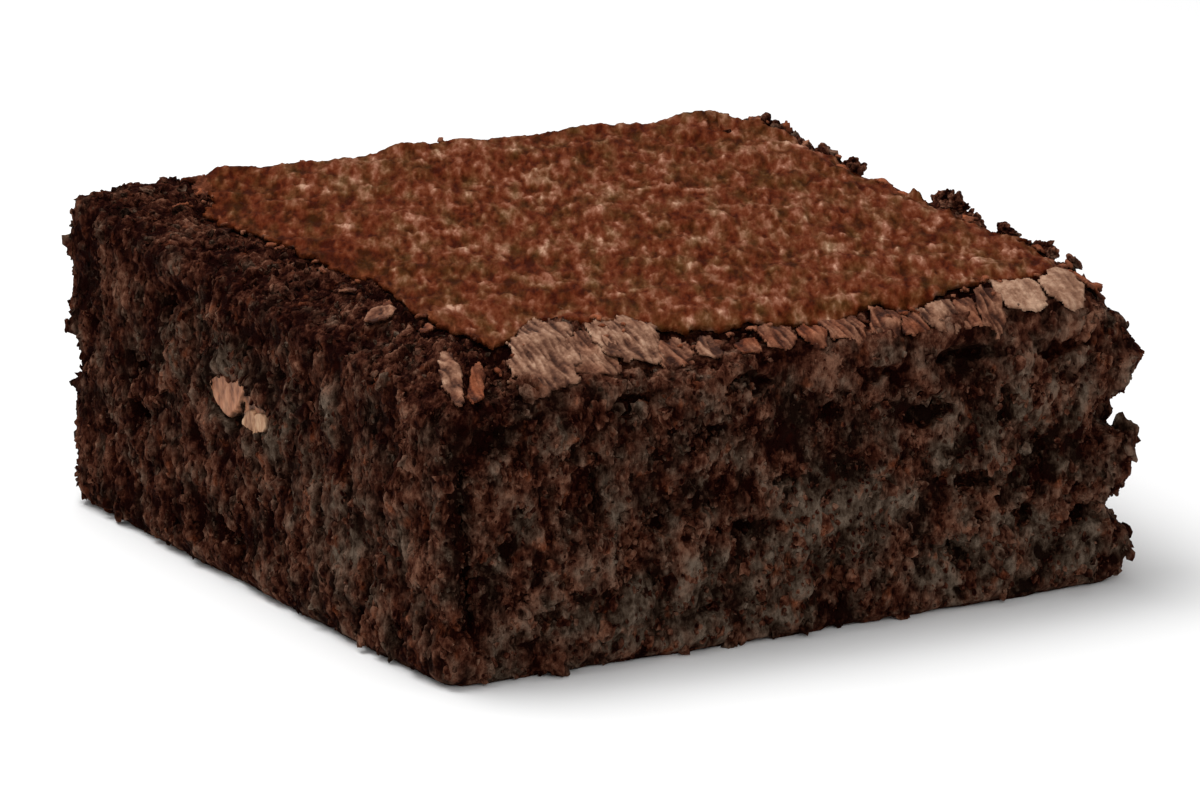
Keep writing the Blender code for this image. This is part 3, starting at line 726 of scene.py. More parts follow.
def crumb_strip(side, columns):
    """Makes the crumb of one side, from the foot to under the crust."""
    strip = bmesh.new()
    bmesh.ops.create_grid(strip, x_segments=columns, y_segments=ROWS, size=0.5)
    hollows = strip.verts.layers.float.new("hollow")
    ashes = strip.verts.layers.float.new("greyness")
    for vert in strip.verts:
        place, outward, inset = strip_ray(SIDE_NORMALS[side], vert.co.x + 0.5, vert.co.y + 0.5)
        spot = onto_loaf(place, outward)
        if side == "left" and 0.95 < nut_edge(spot) < 2:
            spot.x = min(spot.x, LEFT_CUT)
        relief, vert[hollows], vert[ashes] = crumb_relief(spot, outward)
        covered = ease((inset - SINK_FROM) / SINK_OVER) * SINK_DEPTH
        if inset > 0:
            edge = crust_inside(spot.x, spot.y)
            crack = crevice(spot.x, spot.y, edge)
            under = ease((edge + 0.1) / 0.9)
            nearest_plate = min(plate_reach(spot, row) for row in PLATES)
            plated = ease((0.98 - nearest_plate) / 0.20) * (1 - crack)
            vert[ashes] -= CRUST_STAIN * ease(1 - abs(edge) / 4.0)
            relief = between(relief, 0.4 * min(relief, 0.0), max(under, plated))
            covered += CREVICE_DEPTH * crack + CRUST_DEPTH * under + PLATE_DEPTH * plated * (1 - under)
            # The crack is painted darker through `hollow`: a painted shadow under the crust's edge.
            vert[hollows] = limited(vert[hollows] + 0.6 * crack)
        vert.co = spot + outward * relief - UP * covered
        if place.z == 0.0:
            vert.co.z = 0.0
    for vert in extruded_border(strip):
        height = between(LIP_RISE, vert.co.z, LIP_SCALE)
        vert.co = Vector((vert.co.x * LIP_SCALE, vert.co.y * LIP_SCALE, height))
    bmesh.ops.edgeloop_fill(strip, edges=[edge for edge in strip.edges if edge.is_boundary])
    bmesh.ops.recalc_face_normals(strip, faces=strip.faces)
    piece = add_piece("crumb_" + side, strip, crumb)
    report(piece)
    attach(piece, "root")
    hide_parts("brownie")
    return piece


crumb_sides = {side: crumb_strip(side, columns) for side, columns in SIDE_COLUMNS.items()}

# %% [markdown]
# ## The finish of the crust
# The crust is a thin skin of baked sugar. It is reddish brown, with pale pinkish speckles painted
# where tiny blisters catch the light, a painted highlight, and painted shade darkens it towards the back. The
# shade `rim` marks its broken border, which is redder, and `raise` its blisters, which carry the painted
# highlight.

# %% Crust finish
# The speckles are longer from front to back than they are wide.
GRAIN_TURN = math.radians(-28.0)
LONG_GRAIN = (1.0, 3.8, 1.0)
# The palest stops are the painted highlights on the blisters.
RED_SKIN = ((0.05, (0.0330, 0.0036, 0.0004)), (0.30, (0.0760, 0.0125, 0.0030)),
            (0.52, (0.1180, 0.0290, 0.0110)), (0.78, (0.2200, 0.0850, 0.0500)),
            (1.0, (0.4200, 0.2200, 0.1500)))
OLIVE_SKIN = ((0.05, (0.0280, 0.0080, 0.0006)), (0.30, (0.0560, 0.0190, 0.0040)),
              (0.52, (0.0980, 0.0400, 0.0140)), (0.78, (0.2000, 0.1050, 0.0560)),
              (1.0, (0.3800, 0.2500, 0.1600)))
RIM_SKIN = ((0.35, (0.020, 0.0030, 0.0007)), (0.56, (0.080, 0.0170, 0.0050)),
            (0.75, (0.210, 0.0600, 0.0230)))

crust_finish, crust_shader = start_finish("baked_crust", 0.70, 0.015)
blotch = speckle(crust_finish, 1.9, roughness=0.6, stretch=LONG_GRAIN, turn=GRAIN_TURN)
fleck = speckle(crust_finish, 0.78, roughness=0.6, stretch=LONG_GRAIN, turn=GRAIN_TURN, shift=5.0)
broad = speckle(crust_finish, 10.0, detail=2.0, shift=9.0)
# `raise` paints the blisters and pale spots lighter: painted highlight, less a painted shade at the back left.
tone = total(crust_finish, swing(crust_finish, blotch, 0.9), swing(crust_finish, fleck, 1.5),
             scaled(crust_finish, shade(crust_finish, "raise"), 0.50), scaled(crust_finish, broad, 0.45))
hue = speckle(crust_finish, 1.6, stretch=LONG_GRAIN, turn=GRAIN_TURN, shift=15.0)
hue = swing(crust_finish, hue, 3.5, middle=0.42, clamp=True)
skin = mixed(crust_finish, hue, ramp(crust_finish, tone, RED_SKIN), ramp(crust_finish, tone, OLIVE_SKIN))
rim_tone = ramp(crust_finish, fleck, RIM_SKIN)
crust_colour = mixed(crust_finish, shade(crust_finish, "rim"), skin, rim_tone)
join(crust_finish, crust_colour, crust_shader, "Base Color")
pores = speckle(crust_finish, 0.25, shift=2.0)
add_bump(crust_finish, crust_shader, ((blotch, 0.20), (fleck, 0.20), (pores, 0.06)))
print("crust finish nodes:", len(crust_finish.node_tree.nodes))

# %% [markdown]
# ## The top crust
# The crust could be painted on the crumb, but it has an edge that stands over a gap, so it is its
# own thin shell. A fine grid is cut along the torn border worked out above, laid on the loaf and
# blistered. Long blisters and small ones are the same clumps as the crumb's, only flatter.

# %% The top crust
CRUST_STEP = 0.236 * MM
CRUST_THICKNESS = 0.42 * MM
CRUST_LOWEST = 26.2 * MM
CRUST_HIGHEST = 30.8 * MM
BLISTER_STRETCH = 4.0
LEFT_PAINTED_SHADE = 0.30
# The right border rolls up a little about one place: where it starts, its middle and half width.
ROLL_FROM, ROLL_AT, ROLL_WIDTH = 31.0, 4.0, 5.5

# Pale blisters seen in the photograph: place, half width and half depth, in mm.
# Their paleness is painted highlight, and they are lifted a little too.
PALE_SPOTS = (
    (3.5, 18.1, 1.5, 2.6), (3.0, 13.0, 0.9, 1.4), (11.6, 10.6, 3.2, 1.0), (2.8, 5.5, 1.2, 1.4),
    (-13.0, 10.5, 1.4, 1.4),
    (-20.3, 10.4, 1.2, 1.5), (-12.6, 5.5, 1.3, 1.4), (-23.3, -17.2, 1.6, 1.4), (-17.5, 24.8, 1.5, 1.2),
    (-20.1, 16.6, 1.6, 1.1),
    (16.6, -14.6, 2.0, 2.0), (4.2, -16.3, 1.6, 1.8), (27.1, 19.2, 4.5, 2.2), (32.0, 20.0, 1.5, 2.4),
    (-13.9, -0.1, 1.0, 1.2),
    (-6.3, -19.8, 1.8, 1.2), (9.0, -29.5, 2.6, 1.0), (23.6, -14.3, 1.8, 1.4), (26.1, -24.3, 2.4, 1.4),
    (15.5, 8.2, 1.6, 1.2),
)


def pale_spot(x_mm, y_mm):
    """1 in the middle of a pale blister that the photograph shows, 0 outside them all."""
    x_mm += 0.9 * noise.noise(Vector((x_mm / 1.6, y_mm / 1.6, 21.0)))
    y_mm += 0.9 * noise.noise(Vector((x_mm / 1.6, y_mm / 1.6, 31.0)))
    return max(ease(1.4 * (1 - math.hypot((x_mm - at_x) / half_x, (y_mm - at_y) / half_y)))
               for at_x, at_y, half_x, half_y in PALE_SPOTS)


def crust_lift(x, y, inside):
    """How far the crust stands off the loaf in mm, and how blistered it is, 0 to 1, less a painted shade; the
    finish paints blisters lighter as painted highlight.
    """
    spot = Vector((x / MM, y / MM, 0.0))
    pale = pale_spot(spot.x, spot.y)
    long_way = Matrix.Rotation(-GRAIN_TURN, 3, "Z") @ Vector((x, y, 0.0))
    long_way.y /= BLISTER_STRETCH
    blister = clump(long_way, 1.7, warp=0.6)
    small = clump(long_way + UP * 3 * MM, 0.75, warp=0.6)
    patchy = ease(0.5 + 1.3 * noise.noise(spot / 2.6 + Vector((3, 3, 3))))
    grainy = noise.noise(long_way / (0.5 * MM))
    waves = 0.14 * noise.noise(spot / 4.5)
    rolled = ease((spot.x - ROLL_FROM) / 2.5) * math.exp(-((spot.y - ROLL_AT) / ROLL_WIDTH) ** 2)
    broken = ease((33.0 - spot.y) / 3.0)
    curl = broken * ease(1 - inside / 1.2) * (0.05 + 0.30 * noise.noise(spot / 1.8 + Vector((7, 7, 7))))
    rough = between(0.4, 1.0, patchy) * (0.18 * small + 0.06 * grainy)
    lift = waves + 0.20 * blister + rough + 0.10 * pale + curl + 0.35 * rolled
    raised = limited(0.30 * blister + between(0.2, 0.75, patchy) * small + 0.35 * grainy + 0.75 * pale)
    # Painted shade darkens the crust towards its back left corner.
    dim = LEFT_PAINTED_SHADE * ease((-10 - spot.x) / 16) * ease((spot.y + 20) / 20)
    return lift - 0.10, raised - dim


def cut_away(bm, outside):
    """Deletes the vertices outside an outline, then the corners left hanging by one face."""
    bmesh.ops.delete(bm, geom=outside, context="VERTS")
    bmesh.ops.delete(bm, geom=[vert for vert in bm.verts if len(vert.link_faces) < 2], context="VERTS")


def off_crust(place):
    """True outside the crust's border and where the loaf falls away too steeply to hold it."""
    return crust_inside(place.x, place.y) < 0 or loaf_top(place.x, place.y) < CRUST_LOWEST


grid = bmesh.new()
cells = round(2 * HALF_X / CRUST_STEP)
bmesh.ops.create_grid(grid, x_segments=cells, y_segments=cells, size=HALF_X)
cut_away(grid, [vert for vert in grid.verts if off_crust(vert.co)])
rims = grid.verts.layers.float.new("rim")
raises = grid.verts.layers.float.new("raise")
for vert in grid.verts:
    x, y = vert.co.x, vert.co.y
    inside = max(0.0, crust_inside(x, y))
    lift, vert[raises] = crust_lift(x, y, inside)
    left_lip = ease((-22 - x / MM) / 3)
    vert[rims] = ease(1 - inside / between(0.5, 2.6, left_lip)) * between(0.15, 0.8, left_lip)
    vert.co.z = min(loaf_top(x, y) + lift * MM, CRUST_HIGHEST)
border = [vert for vert in grid.verts if vert.is_boundary]
bmesh.ops.smooth_vert(grid, verts=border, factor=0.3, use_axis_x=True, use_axis_y=True)
print("crust cells along a side:", cells)

# %% [markdown]
# The crust is only seen from above and at its edge. So it isn't thickened all over, which would
# double its faces: its border turns down, and one more face below closes it, hidden on the crumb.

# %% Close the crust
bmesh.ops.translate(grid, vec=(0, 0, -CRUST_THICKNESS), verts=extruded_border(grid))
bmesh.ops.edgeloop_fill(grid, edges=[edge for edge in grid.edges if edge.is_boundary])
bmesh.ops.recalc_face_normals(grid, faces=grid.faces)
top_crust = add_piece("top_crust", grid, crust_finish)
report(top_crust)
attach(top_crust, "root")

# %% [markdown]
# ## The broken plates
# Along the front shoulder the crust broke into plates that tipped forwards. They are paler than
# the top, because they turn their blistered faces to the camera, and wrinkled down the slope.
# Each plate is a small grid cut to a ragged outline, dropped on the loaf along its slope, then
# wrinkled, curled and thickened. Their skin is paler than the top's.

# %% Plate finish
PALE_PLATE = ((0.30, (0.034, 0.0105, 0.0050)), (0.42, (0.110, 0.0430, 0.0230)),
              (0.56, (0.250, 0.1240, 0.0740)), (0.80, (0.560, 0.3500, 0.2350)))
RUSSET_PLATE = ((0.28, (0.026, 0.0045, 0.0013)), (0.44, (0.105, 0.0220, 0.0065)),
                (0.75, (0.330, 0.0950, 0.0380)))

plate_finish, plate_shader = start_finish("plate_skin", 0.66, 0.10)
streak = speckle(plate_finish, 0.45, detail=5.0, roughness=0.65)
smudge = speckle(plate_finish, 1.6, shift=6.0)
# `raise` paints the wrinkle crests lighter, a painted highlight, and for paler plates adds their paler colour.
tone = total(plate_finish, scaled(plate_finish, streak, 0.40), scaled(plate_finish, smudge, 0.45),
             scaled(plate_finish, shade(plate_finish, "raise"), 0.40), -0.13)
plate_colour = mixed(plate_finish, shade(plate_finish, "russet"), ramp(plate_finish, tone, PALE_PLATE),
                     ramp(plate_finish, tone, RUSSET_PLATE))
join(plate_finish, plate_colour, plate_shader, "Base Color")
pores = speckle(plate_finish, 0.22, shift=3.0)
add_bump(plate_finish, plate_shader, ((streak, 0.25), (pores, 0.08)))
print("plate finish nodes:", len(plate_finish.node_tree.nodes))

# %% The plates
# How far a plate laps over its neighbours, as a share of its own reach, and over the crust, in mm.
PLATE_LAP = 0.14
CRUST_LAP = 0.10
# The first plates are one crumpled sheet, tucked this far under the crust, in mm.
SHEET = 3
TUCKED = 0.25
NEIGHBOURS = 9
SLENDER = 1.2
PLATE_STEP = 0.19
PLATE_THICKNESS = 0.2 * MM
PLATE_GAP = 0.12
PLATE_DROP = 2.2 * MM
PLATE_ABOVE = 6 * MM
STEEPEST = 1.1
SLOPE_STEP = 1.5 * MM
FRAY = 0.22


def chip_outline(angle, seed):
    """An uneven, jagged outline of radius about 1, for small chips."""
    around = Vector((math.cos(angle), math.sin(angle), seed * 2.9))
    waves = ((0.50, 1.2), (0.30, 3.1), (0.16, 8.0))
    return 0.86 + sum(depth * noise.noise(around * rate) for depth, rate in waves)


def plate_outline(angle, seed, half_length):
    """A ragged, slightly square outline of radius about 1. Slender plates are near ovals."""
    around = Vector((math.cos(angle), math.sin(angle), seed * 3.7))
    if half_length < SLENDER:
        return 0.95 + 0.18 * noise.noise(around * 1.3)
    square = 1.0 / max(abs(math.cos(angle)), abs(math.sin(angle))) ** 0.55
    return square * (0.9 + 0.22 * noise.noise(around * 1.3) + 0.14 * noise.noise(around * 3.7))


def ridge(s, t, seed):
    """Sharp ridges: 1 along their crests, lower between them."""
    return 1 - abs(2 * noise.noise(Vector((s, t, seed))))


def local_axes(x, y, turn):
    """Directions along and down the loaf's top at a place, and the direction that faces out of it."""
    step = SLOPE_STEP
    slope_x = (loaf_top(x + step, y) - loaf_top(x - step, y)) / (2 * step)
    slope_y = (loaf_top(x, y + step) - loaf_top(x, y - step)) / (2 * step)
    slope_x, slope_y = [max(-STEEPEST, min(STEEPEST, slope)) for slope in (slope_x, slope_y)]
    normal = Vector((-slope_x, -slope_y, 1.0)).normalized()
    ahead = Vector((math.cos(math.radians(turn)), math.sin(math.radians(turn)), 0.0))
    along = (ahead - normal * ahead.dot(normal)).normalized()
    return along, along.cross(normal), normal


def off_plate(spot, row, seed):
    """True where a plate ends against its neighbours or the crust."""
    if seed <= SHEET:
        return crust_inside(spot.x, spot.y) > TUCKED
    own = plate_reach(spot, row) - PLATE_LAP
    for other in PLATES:
        if other != row and abs(other[0] - row[0]) < NEIGHBOURS and plate_reach(spot, other) < own:
            return True
    return crust_inside(spot.x, spot.y) > CRUST_LAP


def add_mesh(bm, made, name):
    """Adds a small finished bmesh to a larger one."""
    mesh = bpy.data.meshes.new(name)
    made.to_mesh(mesh)
    made.free()
    bm.from_mesh(mesh)
    bpy.data.meshes.remove(mesh)


def make_plate(bm, row, seed):
    """Adds one plate to the bmesh."""
    x, y, half_length, half_width, turn, russet, gape = row
    centre = Vector((x * MM, y * MM, loaf_top(x * MM, y * MM)))
    along, across, normal = local_axes(centre.x, centre.y, turn)
    made = bmesh.new()
    reach = 1.35 * max(half_length, half_width)
    cells = round(2 * reach / PLATE_STEP)
    bmesh.ops.create_grid(made, x_segments=cells, y_segments=cells, size=reach)
    raises = made.verts.layers.float.new("raise")
    russets = made.verts.layers.float.new("russet")
    outside = []
    for vert in made.verts:
        s, t = vert.co.x, vert.co.y
        radius = math.hypot(s / half_length, t / half_width)
        radius /= plate_outline(math.atan2(t / half_width, s / half_length), seed, half_length)
        fray = FRAY * noise.noise(Vector((s / 1.3, t / 1.5, seed)))
        fray += 0.4 * FRAY * noise.noise(Vector((s / 0.5, t / 0.6, seed)))
        place = centre + along * s * MM + across * t * MM
        spot = loaf.ray_cast(place + normal * PLATE_ABOVE, -normal, 10 * MM)[0]
        if spot is None or (spot - place).dot(normal) < -PLATE_DROP:
            spot = place - normal * PLATE_DROP
        if radius + fray > 1.0 or off_plate(spot, row, seed):
            outside.append(vert)
            continue
        fold = 0.5 * noise.noise(Vector((s / 2.4, t / 2.4, seed * 2.3)))
        crest = ridge((s - 0.45 * t) / 0.80 + fold, t / 3.6, seed * 5.3)
        fine_crest = ridge((s - 0.45 * t) / 0.36 + 2 * fold, t / 1.8, seed * 2.9)
        crumple = ridge(s / 2.4 + 9, t / 2.8, seed * 1.7)
        cup = noise.noise(Vector((s / 3.0, t / 3.0, seed * 1.9)))
        calm = 0.35 if russet < -0.1 else 1.0
        lift = PLATE_GAP + calm * (0.18 * crest + 0.10 * fine_crest + 0.22 * crumple - 0.26) + 0.16 * cup
        curled = ease((radius - 0.6) / 0.4) * noise.noise(Vector((s, t, seed)))
        lift += gape * ease(t / half_width) + 0.15 * curled
        flat = place + normal * 0.1 * MM
        # Wrinkle crests are painted lighter and troughs darker: painted highlight and painted shade.
        wrinkled = 0.55 * crest + 0.38 * fine_crest + 0.30 * crumple - 0.78
        vert[raises] = limited(0.5 + calm * wrinkled) + max(0.0, -russet)
        smudged = 0.4 * noise.noise(Vector((s / 1.5, t / 1.5, seed)))
        vert[russets] = limited(russet + smudged + 0.3 * ease((radius - 0.85) / 0.3))
        vert.co = spot.lerp(flat, 0.35) + normal * max(lift, -0.1) * MM
    cut_away(made, outside)
    for face in made.faces:
        face.normal_update()
    if sum((face.normal.dot(normal) for face in made.faces), 0.0) < 0:
        bmesh.ops.reverse_faces(made, faces=made.faces)
    add_mesh(bm, made, "one_plate")


plates = bmesh.new()
plates.verts.layers.float.new("raise")
plates.verts.layers.float.new("russet")
for seed, row in enumerate(PLATES):
    make_plate(plates, row, seed + 1)
crust_plates = add_piece("crust_plates", plates, plate_finish)
wall = crust_plates.modifiers.new("thickness", "SOLIDIFY")
wall.thickness = PLATE_THICKNESS
wall.offset = -1.0
report(crust_plates)
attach(crust_plates, "root")

# %% [markdown]
# ## Chips of crust
# Where the crust tore, small chips of it stand up or hang on. Each chip is a little grid cut to a
# ragged outline, bent and tilted. The listed ones are seen in the photograph; the rest lie about
# the crust's border at random.

# %% The chips
# Place in plan, half length, half width, turn, lean in degrees, how russet, and lift in mm.
SEEN_CHIPS = (
    (-25.4, 28.3, 1.1, 1.4, -25, 64, 0.95, 0.15), (-26.4, 26.4, 0.9, 0.9, 30, 35, 0.9, 0.2),
    (34.4, 25.1, 0.6, 0.8, -20, 60, 1.0, 0.5),
    (33.4, 12.9, 1.6, 0.9, 80, 15, 1.0, 0.3), (33.2, 1.4, 1.8, 0.8, 95, 18, 1.0, 0.35),
    (33.0, 5.0, 1.8, 0.9, 88, 14, 1.0, 0.35),
    (34.9, -20.2, 1.4, 0.7, 95, 25, 0.9, 0.2), (34.6, -25.6, 0.7, 0.7, 60, 35, 0.8, 0.3),
    (33.0, -31.8, 1.5, 0.9, -20, -15, 0.9, 0.2), (33.6, -30.6, 1.1, 0.8, -30, -20, 0.8, 0.2),
    (-26.6, -31.0, 1.2, 0.6, 70, 20, 0.9, 0.2),
)
CHIP_COUNT = 70
CHIP_STEP = 0.2
CHIP_THICKNESS = 0.25 * MM
CHIP_SEED = 21


def make_chip(bm, row, seed):
    """Adds one chip to the bmesh."""
    x, y, half_length, half_width, turn, lean, russet, lift = row
    centre = Vector((x * MM, y * MM, loaf_top(x * MM, y * MM) + lift * MM))
    tilt = Matrix.Rotation(math.radians(turn), 3, "Z") @ Matrix.Rotation(math.radians(lean), 3, "X")
    made = bmesh.new()
    reach = 1.3 * max(half_length, half_width)
    cells = max(4, round(2 * reach / CHIP_STEP))
    bmesh.ops.create_grid(made, x_segments=cells, y_segments=cells, size=reach)
    raises = made.verts.layers.float.new("raise")
    russets = made.verts.layers.float.new("russet")
    outside = []
    for vert in made.verts:
        s, t = vert.co.x, vert.co.y
        radius = math.hypot(s / half_length, t / half_width)
        radius /= chip_outline(math.atan2(t / half_width, s / half_length), seed)
        if radius > 1.06:
            outside.append(vert)
        bend = noise.noise(Vector((s / 1.5, t / 1.5, seed * 4.1)))
        bend += 0.5 * noise.noise(Vector((s / 0.5, t / 0.5, seed * 2.3)))
        # Where a chip bends up it is painted lighter: painted highlight.
        vert[raises] = limited(0.5 + 0.7 * bend)
        vert[russets] = limited(russet + 0.3 * bend)
        vert.co = centre + tilt @ Vector((s, t, 0.35 * bend - 0.15 * radius ** 2)) * MM
    bmesh.ops.delete(made, geom=outside, context="VERTS")
    add_mesh(bm, made, "one_chip")


chips = bmesh.new()
chips.verts.layers.float.new("raise")
chips.verts.layers.float.new("russet")
for seed, row in enumerate(SEEN_CHIPS):
    make_chip(chips, row, seed + 100)
draw = random.Random(CHIP_SEED)
for index in range(CHIP_COUNT):
    side = draw.choice(("left", "front", "front", "right", "back"))
    if side in ("front", "back"):
        x = draw.uniform(-26, 33)
    else:
        y = draw.uniform(-29, 32)
    if side == "front":
        y = read_table(CRUST_FRONT, x) - draw.uniform(-0.3, 2.4)
    elif side == "back":
        y = CRUST_BACK + draw.uniform(-0.4, 0.9)
    elif side == "left":
        x = read_table(CRUST_LEFT, y) - draw.uniform(-0.3, 2.0)
    else:
        x = read_table(CRUST_RIGHT, y) + draw.uniform(-0.4, 1.0)
    size = between(0.35, 0.85, draw.random() ** 2)
    chip = (x, y, size, size * draw.uniform(0.6, 1.0), draw.uniform(0, 180), draw.uniform(-35, 35),
            draw.uniform(0.55, 1.0), draw.uniform(0.05, 0.35))
    make_chip(chips, chip, index + 200)
crust_chips = add_piece("crust_chips", chips, plate_finish)
wall = crust_chips.modifiers.new("thickness", "SOLIDIFY")
wall.thickness = CHIP_THICKNESS
wall.offset = 0.0
report(crust_chips)
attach(crust_chips, "root")

# %% [markdown]
# ## Loose grains
# A mesh that is only pushed in and out has no overhangs, and crumb has many. So small grains are
# settled on the crumb, half sunk in: fine ones by the thousand, lumpy ones by the hundred and a
# few dozen clods. An operator makes the shape of one grain, and copies of it, each with its own
# turn and stretch, are gathered a tray at a time into one mesh for each kind.

# %% Settle grains on the crumb
NEAR_PLATE = 0.95
PLATE_HEIGHT = 26 * MM
# Below this height no plate lies.
PLAIN_BELOW = 22 * MM
LOWEST_HOME = 0.5 * MM
LOWEST_GRAIN = 0.02 * MM


def under_plate(x, y):
    """True where a plate or the crust covers the crumb."""
    for plate in PLATES:
        if plate_reach(Vector((x, y, PLATE_HEIGHT)), plate) < NEAR_PLATE:
            return True
    return crust_inside(x, y) > 0.4


def turned_about(axis, angle):
    return Matrix.Rotation(angle, 4, axis)


def homes_for(count, seed, weights):
    """Places on the crumb, spread by area: place, outward direction, side, hollow and no set radius."""
    draw = random.Random(seed)
    found = []
    for side, weight in weights.items():
        mesh = crumb_sides[side].data
        hollow = mesh.attributes["hollow"].data
        faces = [face for face in mesh.polygons if len(face.vertices) == 4 and face.center.z > LOWEST_HOME]
        faces = [face for face in faces
                 if face.center.z < PLAIN_BELOW or not under_plate(face.center.x, face.center.y)]
        areas = [face.area for face in faces]
        for face in draw.choices(faces, weights=areas, k=round(count * weight)):
            depth = hollow[face.vertices[0]].value
            found.append((face.center.copy(), face.normal.copy(), side, depth, None))
    return found


def settle_grains(name, homes, seed, sizes, detail, lumpiness, raised, tray=150, smooth=False):
    """Makes one piece of many grains. Sizes are the smallest and largest radius in mm."""
    draw = random.Random(seed)
    heap = bmesh.new()
    for label in ("hollow", "greyness"):
        heap.verts.layers.float.new(label)
    for start in range(0, len(homes), tray):
        bm = bmesh.new()
        hollows = bm.verts.layers.float.new("hollow")
        ashes = bm.verts.layers.float.new("greyness")
        for centre, normal, side, hollow, set_radius in homes[start:start + tray]:
            radius = set_radius or between(*sizes, draw.random() ** 2) * MM
            long_way = 1.5 if side == "left" else 1.15
            shape = Matrix.Diagonal((draw.uniform(0.6, 1.1), draw.uniform(0.6, 1.1), long_way, 1.0))
            tilt = turned_about("X", draw.uniform(-0.7, 0.7)) @ turned_about("Y", draw.uniform(-0.7, 0.7))
            if normal.z > 0.6:
                # On the top a long grain lies down, turned any way.
                tilt = turned_about("Z", draw.uniform(0, math.pi)) @ turned_about("X", math.pi / 2) @ tilt
            shift = Vector((draw.uniform(0, 40), draw.uniform(0, 40), draw.uniform(0, 40)))
            # Each grain takes painted shade from the hollow it sits in, and its bumps are painted lighter and its
            # dips darker: painted highlight and painted shade.
            tone, ash = limited(0.5 * hollow + draw.uniform(0.0, 0.5)), draw.uniform(-0.3, 0.7)
            ash -= 0.4 if set_radius else 0.0
            made = bmesh.ops.create_icosphere(bm, subdivisions=detail, radius=radius)["verts"]
            for vert in made:
                bumpy = noise.noise(vert.co / radius * 1.3 + shift)
                bumpy += 0.5 * noise.noise(vert.co / radius * 3.1 + shift)
                vert.co *= 1 + lumpiness * bumpy
                vert[hollows] = limited(tone - 0.7 * bumpy)
                vert[ashes] = ash
            where = Matrix.Translation(centre + normal * radius * raised)
            bmesh.ops.transform(bm, matrix=where @ tilt @ shape, verts=made)
            for vert in made:
                vert.co.z = max(vert.co.z, LOWEST_GRAIN)
        add_mesh(heap, bm, "tray")
    piece = add_piece(name, heap, grain_skin, smooth=smooth)
    report(piece)
    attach(piece, "root")


grain_skin = crumb_finish("grain_crumb", 0.05)
fine_homes = homes_for(3300, 11, {"front": 1.0, "left": 1.0, "right": 0.4, "back": 0.4})
settle_grains("fine_grains", fine_homes, 12, (0.14, 0.34), 1, 0.8, 0.15)
lumpy_homes = homes_for(560, 13, {"front": 0.8, "left": 0.35, "right": 0.6, "back": 0.5})
settle_grains("lumpy_grains", lumpy_homes, 14, (0.30, 0.75), 2, 0.9, -0.05)
# Clods that the photograph shows along the right edge: place and height of the middle and the
# radius, in mm.
SEEN_CLODS = ((35.4, -1.9, 27.9, 0.6), (35.6, -2.6, 28.1, 0.75), (35.8, -3.4, 27.8, 0.8),
              (36.0, -4.4, 27.4, 0.7),
              (36.0, -5.4, 26.9, 0.6), (35.3, -2.7, 27.4, 0.85), (35.5, -3.6, 27.1, 0.9),
              (34.6, -9.2, 27.5, 0.6),
              (34.8, -13.6, 27.8, 0.7), (34.9, -14.8, 27.6, 0.7), (35.3, -18.9, 27.3, 0.6),
              (35.4, -20.1, 27.4, 0.7),
              (35.4, -21.4, 27.2, 0.6), (35.2, -25.2, 27.3, 0.6), (34.6, 12.2, 27.4, 0.7),
              (34.4, 13.4, 27.5, 0.7),
              (35.6, 20.5, 27.4, 0.5), (36.0, -6.3, 26.8, 0.5))
seen_homes = [(Vector(row[:3]) * MM, UP, "right", 0.4, row[3] * MM) for row in SEEN_CLODS]
settle_grains("seen_clods", seen_homes, 61, (0.7, 1.0), 4, 0.75, 0.0)
clod_homes = homes_for(22, 15, {"front": 1.0, "left": 0.2, "right": 1.0, "back": 0.5})
settle_grains("clods", clod_homes, 16, (0.8, 1.5), 4, 0.9, -0.3, tray=20, smooth=True)

# %% [markdown]
# ## The nut
# The knife went through a piece of nut about eleven millimetres long. It is pale, with a skin of
# crumb round it and a notch in its lower edge, a gap in the crumb darkened by painted shade. It could be carved
# from one block, but its cut shows a pink lobe, a cream one and a browned bridge between them. So each is an
# icosphere stretched to its own outline, and they grow together in the box of the solid they replace.

# %% Nut finish
PINK_NUT = ((0.30, (0.150, 0.050, 0.022)), (0.5, (0.380, 0.158, 0.080)), (0.7, (0.520, 0.250, 0.140)))
CREAM_NUT = ((0.30, (0.200, 0.080, 0.036)), (0.5, (0.420, 0.230, 0.125)), (0.7, (0.600, 0.390, 0.240)))
SMEAR = ((0.35, (0.022, 0.007, 0.003)), (0.7, (0.120, 0.050, 0.024)))

nut_finish, nut_shader = start_finish("nut_flesh", 0.6, 0.2)
vein = speckle(nut_finish, 0.9, detail=4.0, stretch=(1.0, 0.8, 1.8))
nut_cut = mixed(nut_finish, shade(nut_finish, "cream"), ramp(nut_finish, vein, PINK_NUT),
                ramp(nut_finish, vein, CREAM_NUT))
smear = ramp(nut_finish, speckle(nut_finish, 0.7, shift=4.0), SMEAR)
join(nut_finish, mixed(nut_finish, shade(nut_finish, "hollow"), nut_cut, smear), nut_shader, "Base Color")
add_bump(nut_finish, nut_shader, ((vein, 0.2),))
print("nut finish nodes:", len(nut_finish.node_tree.nodes))

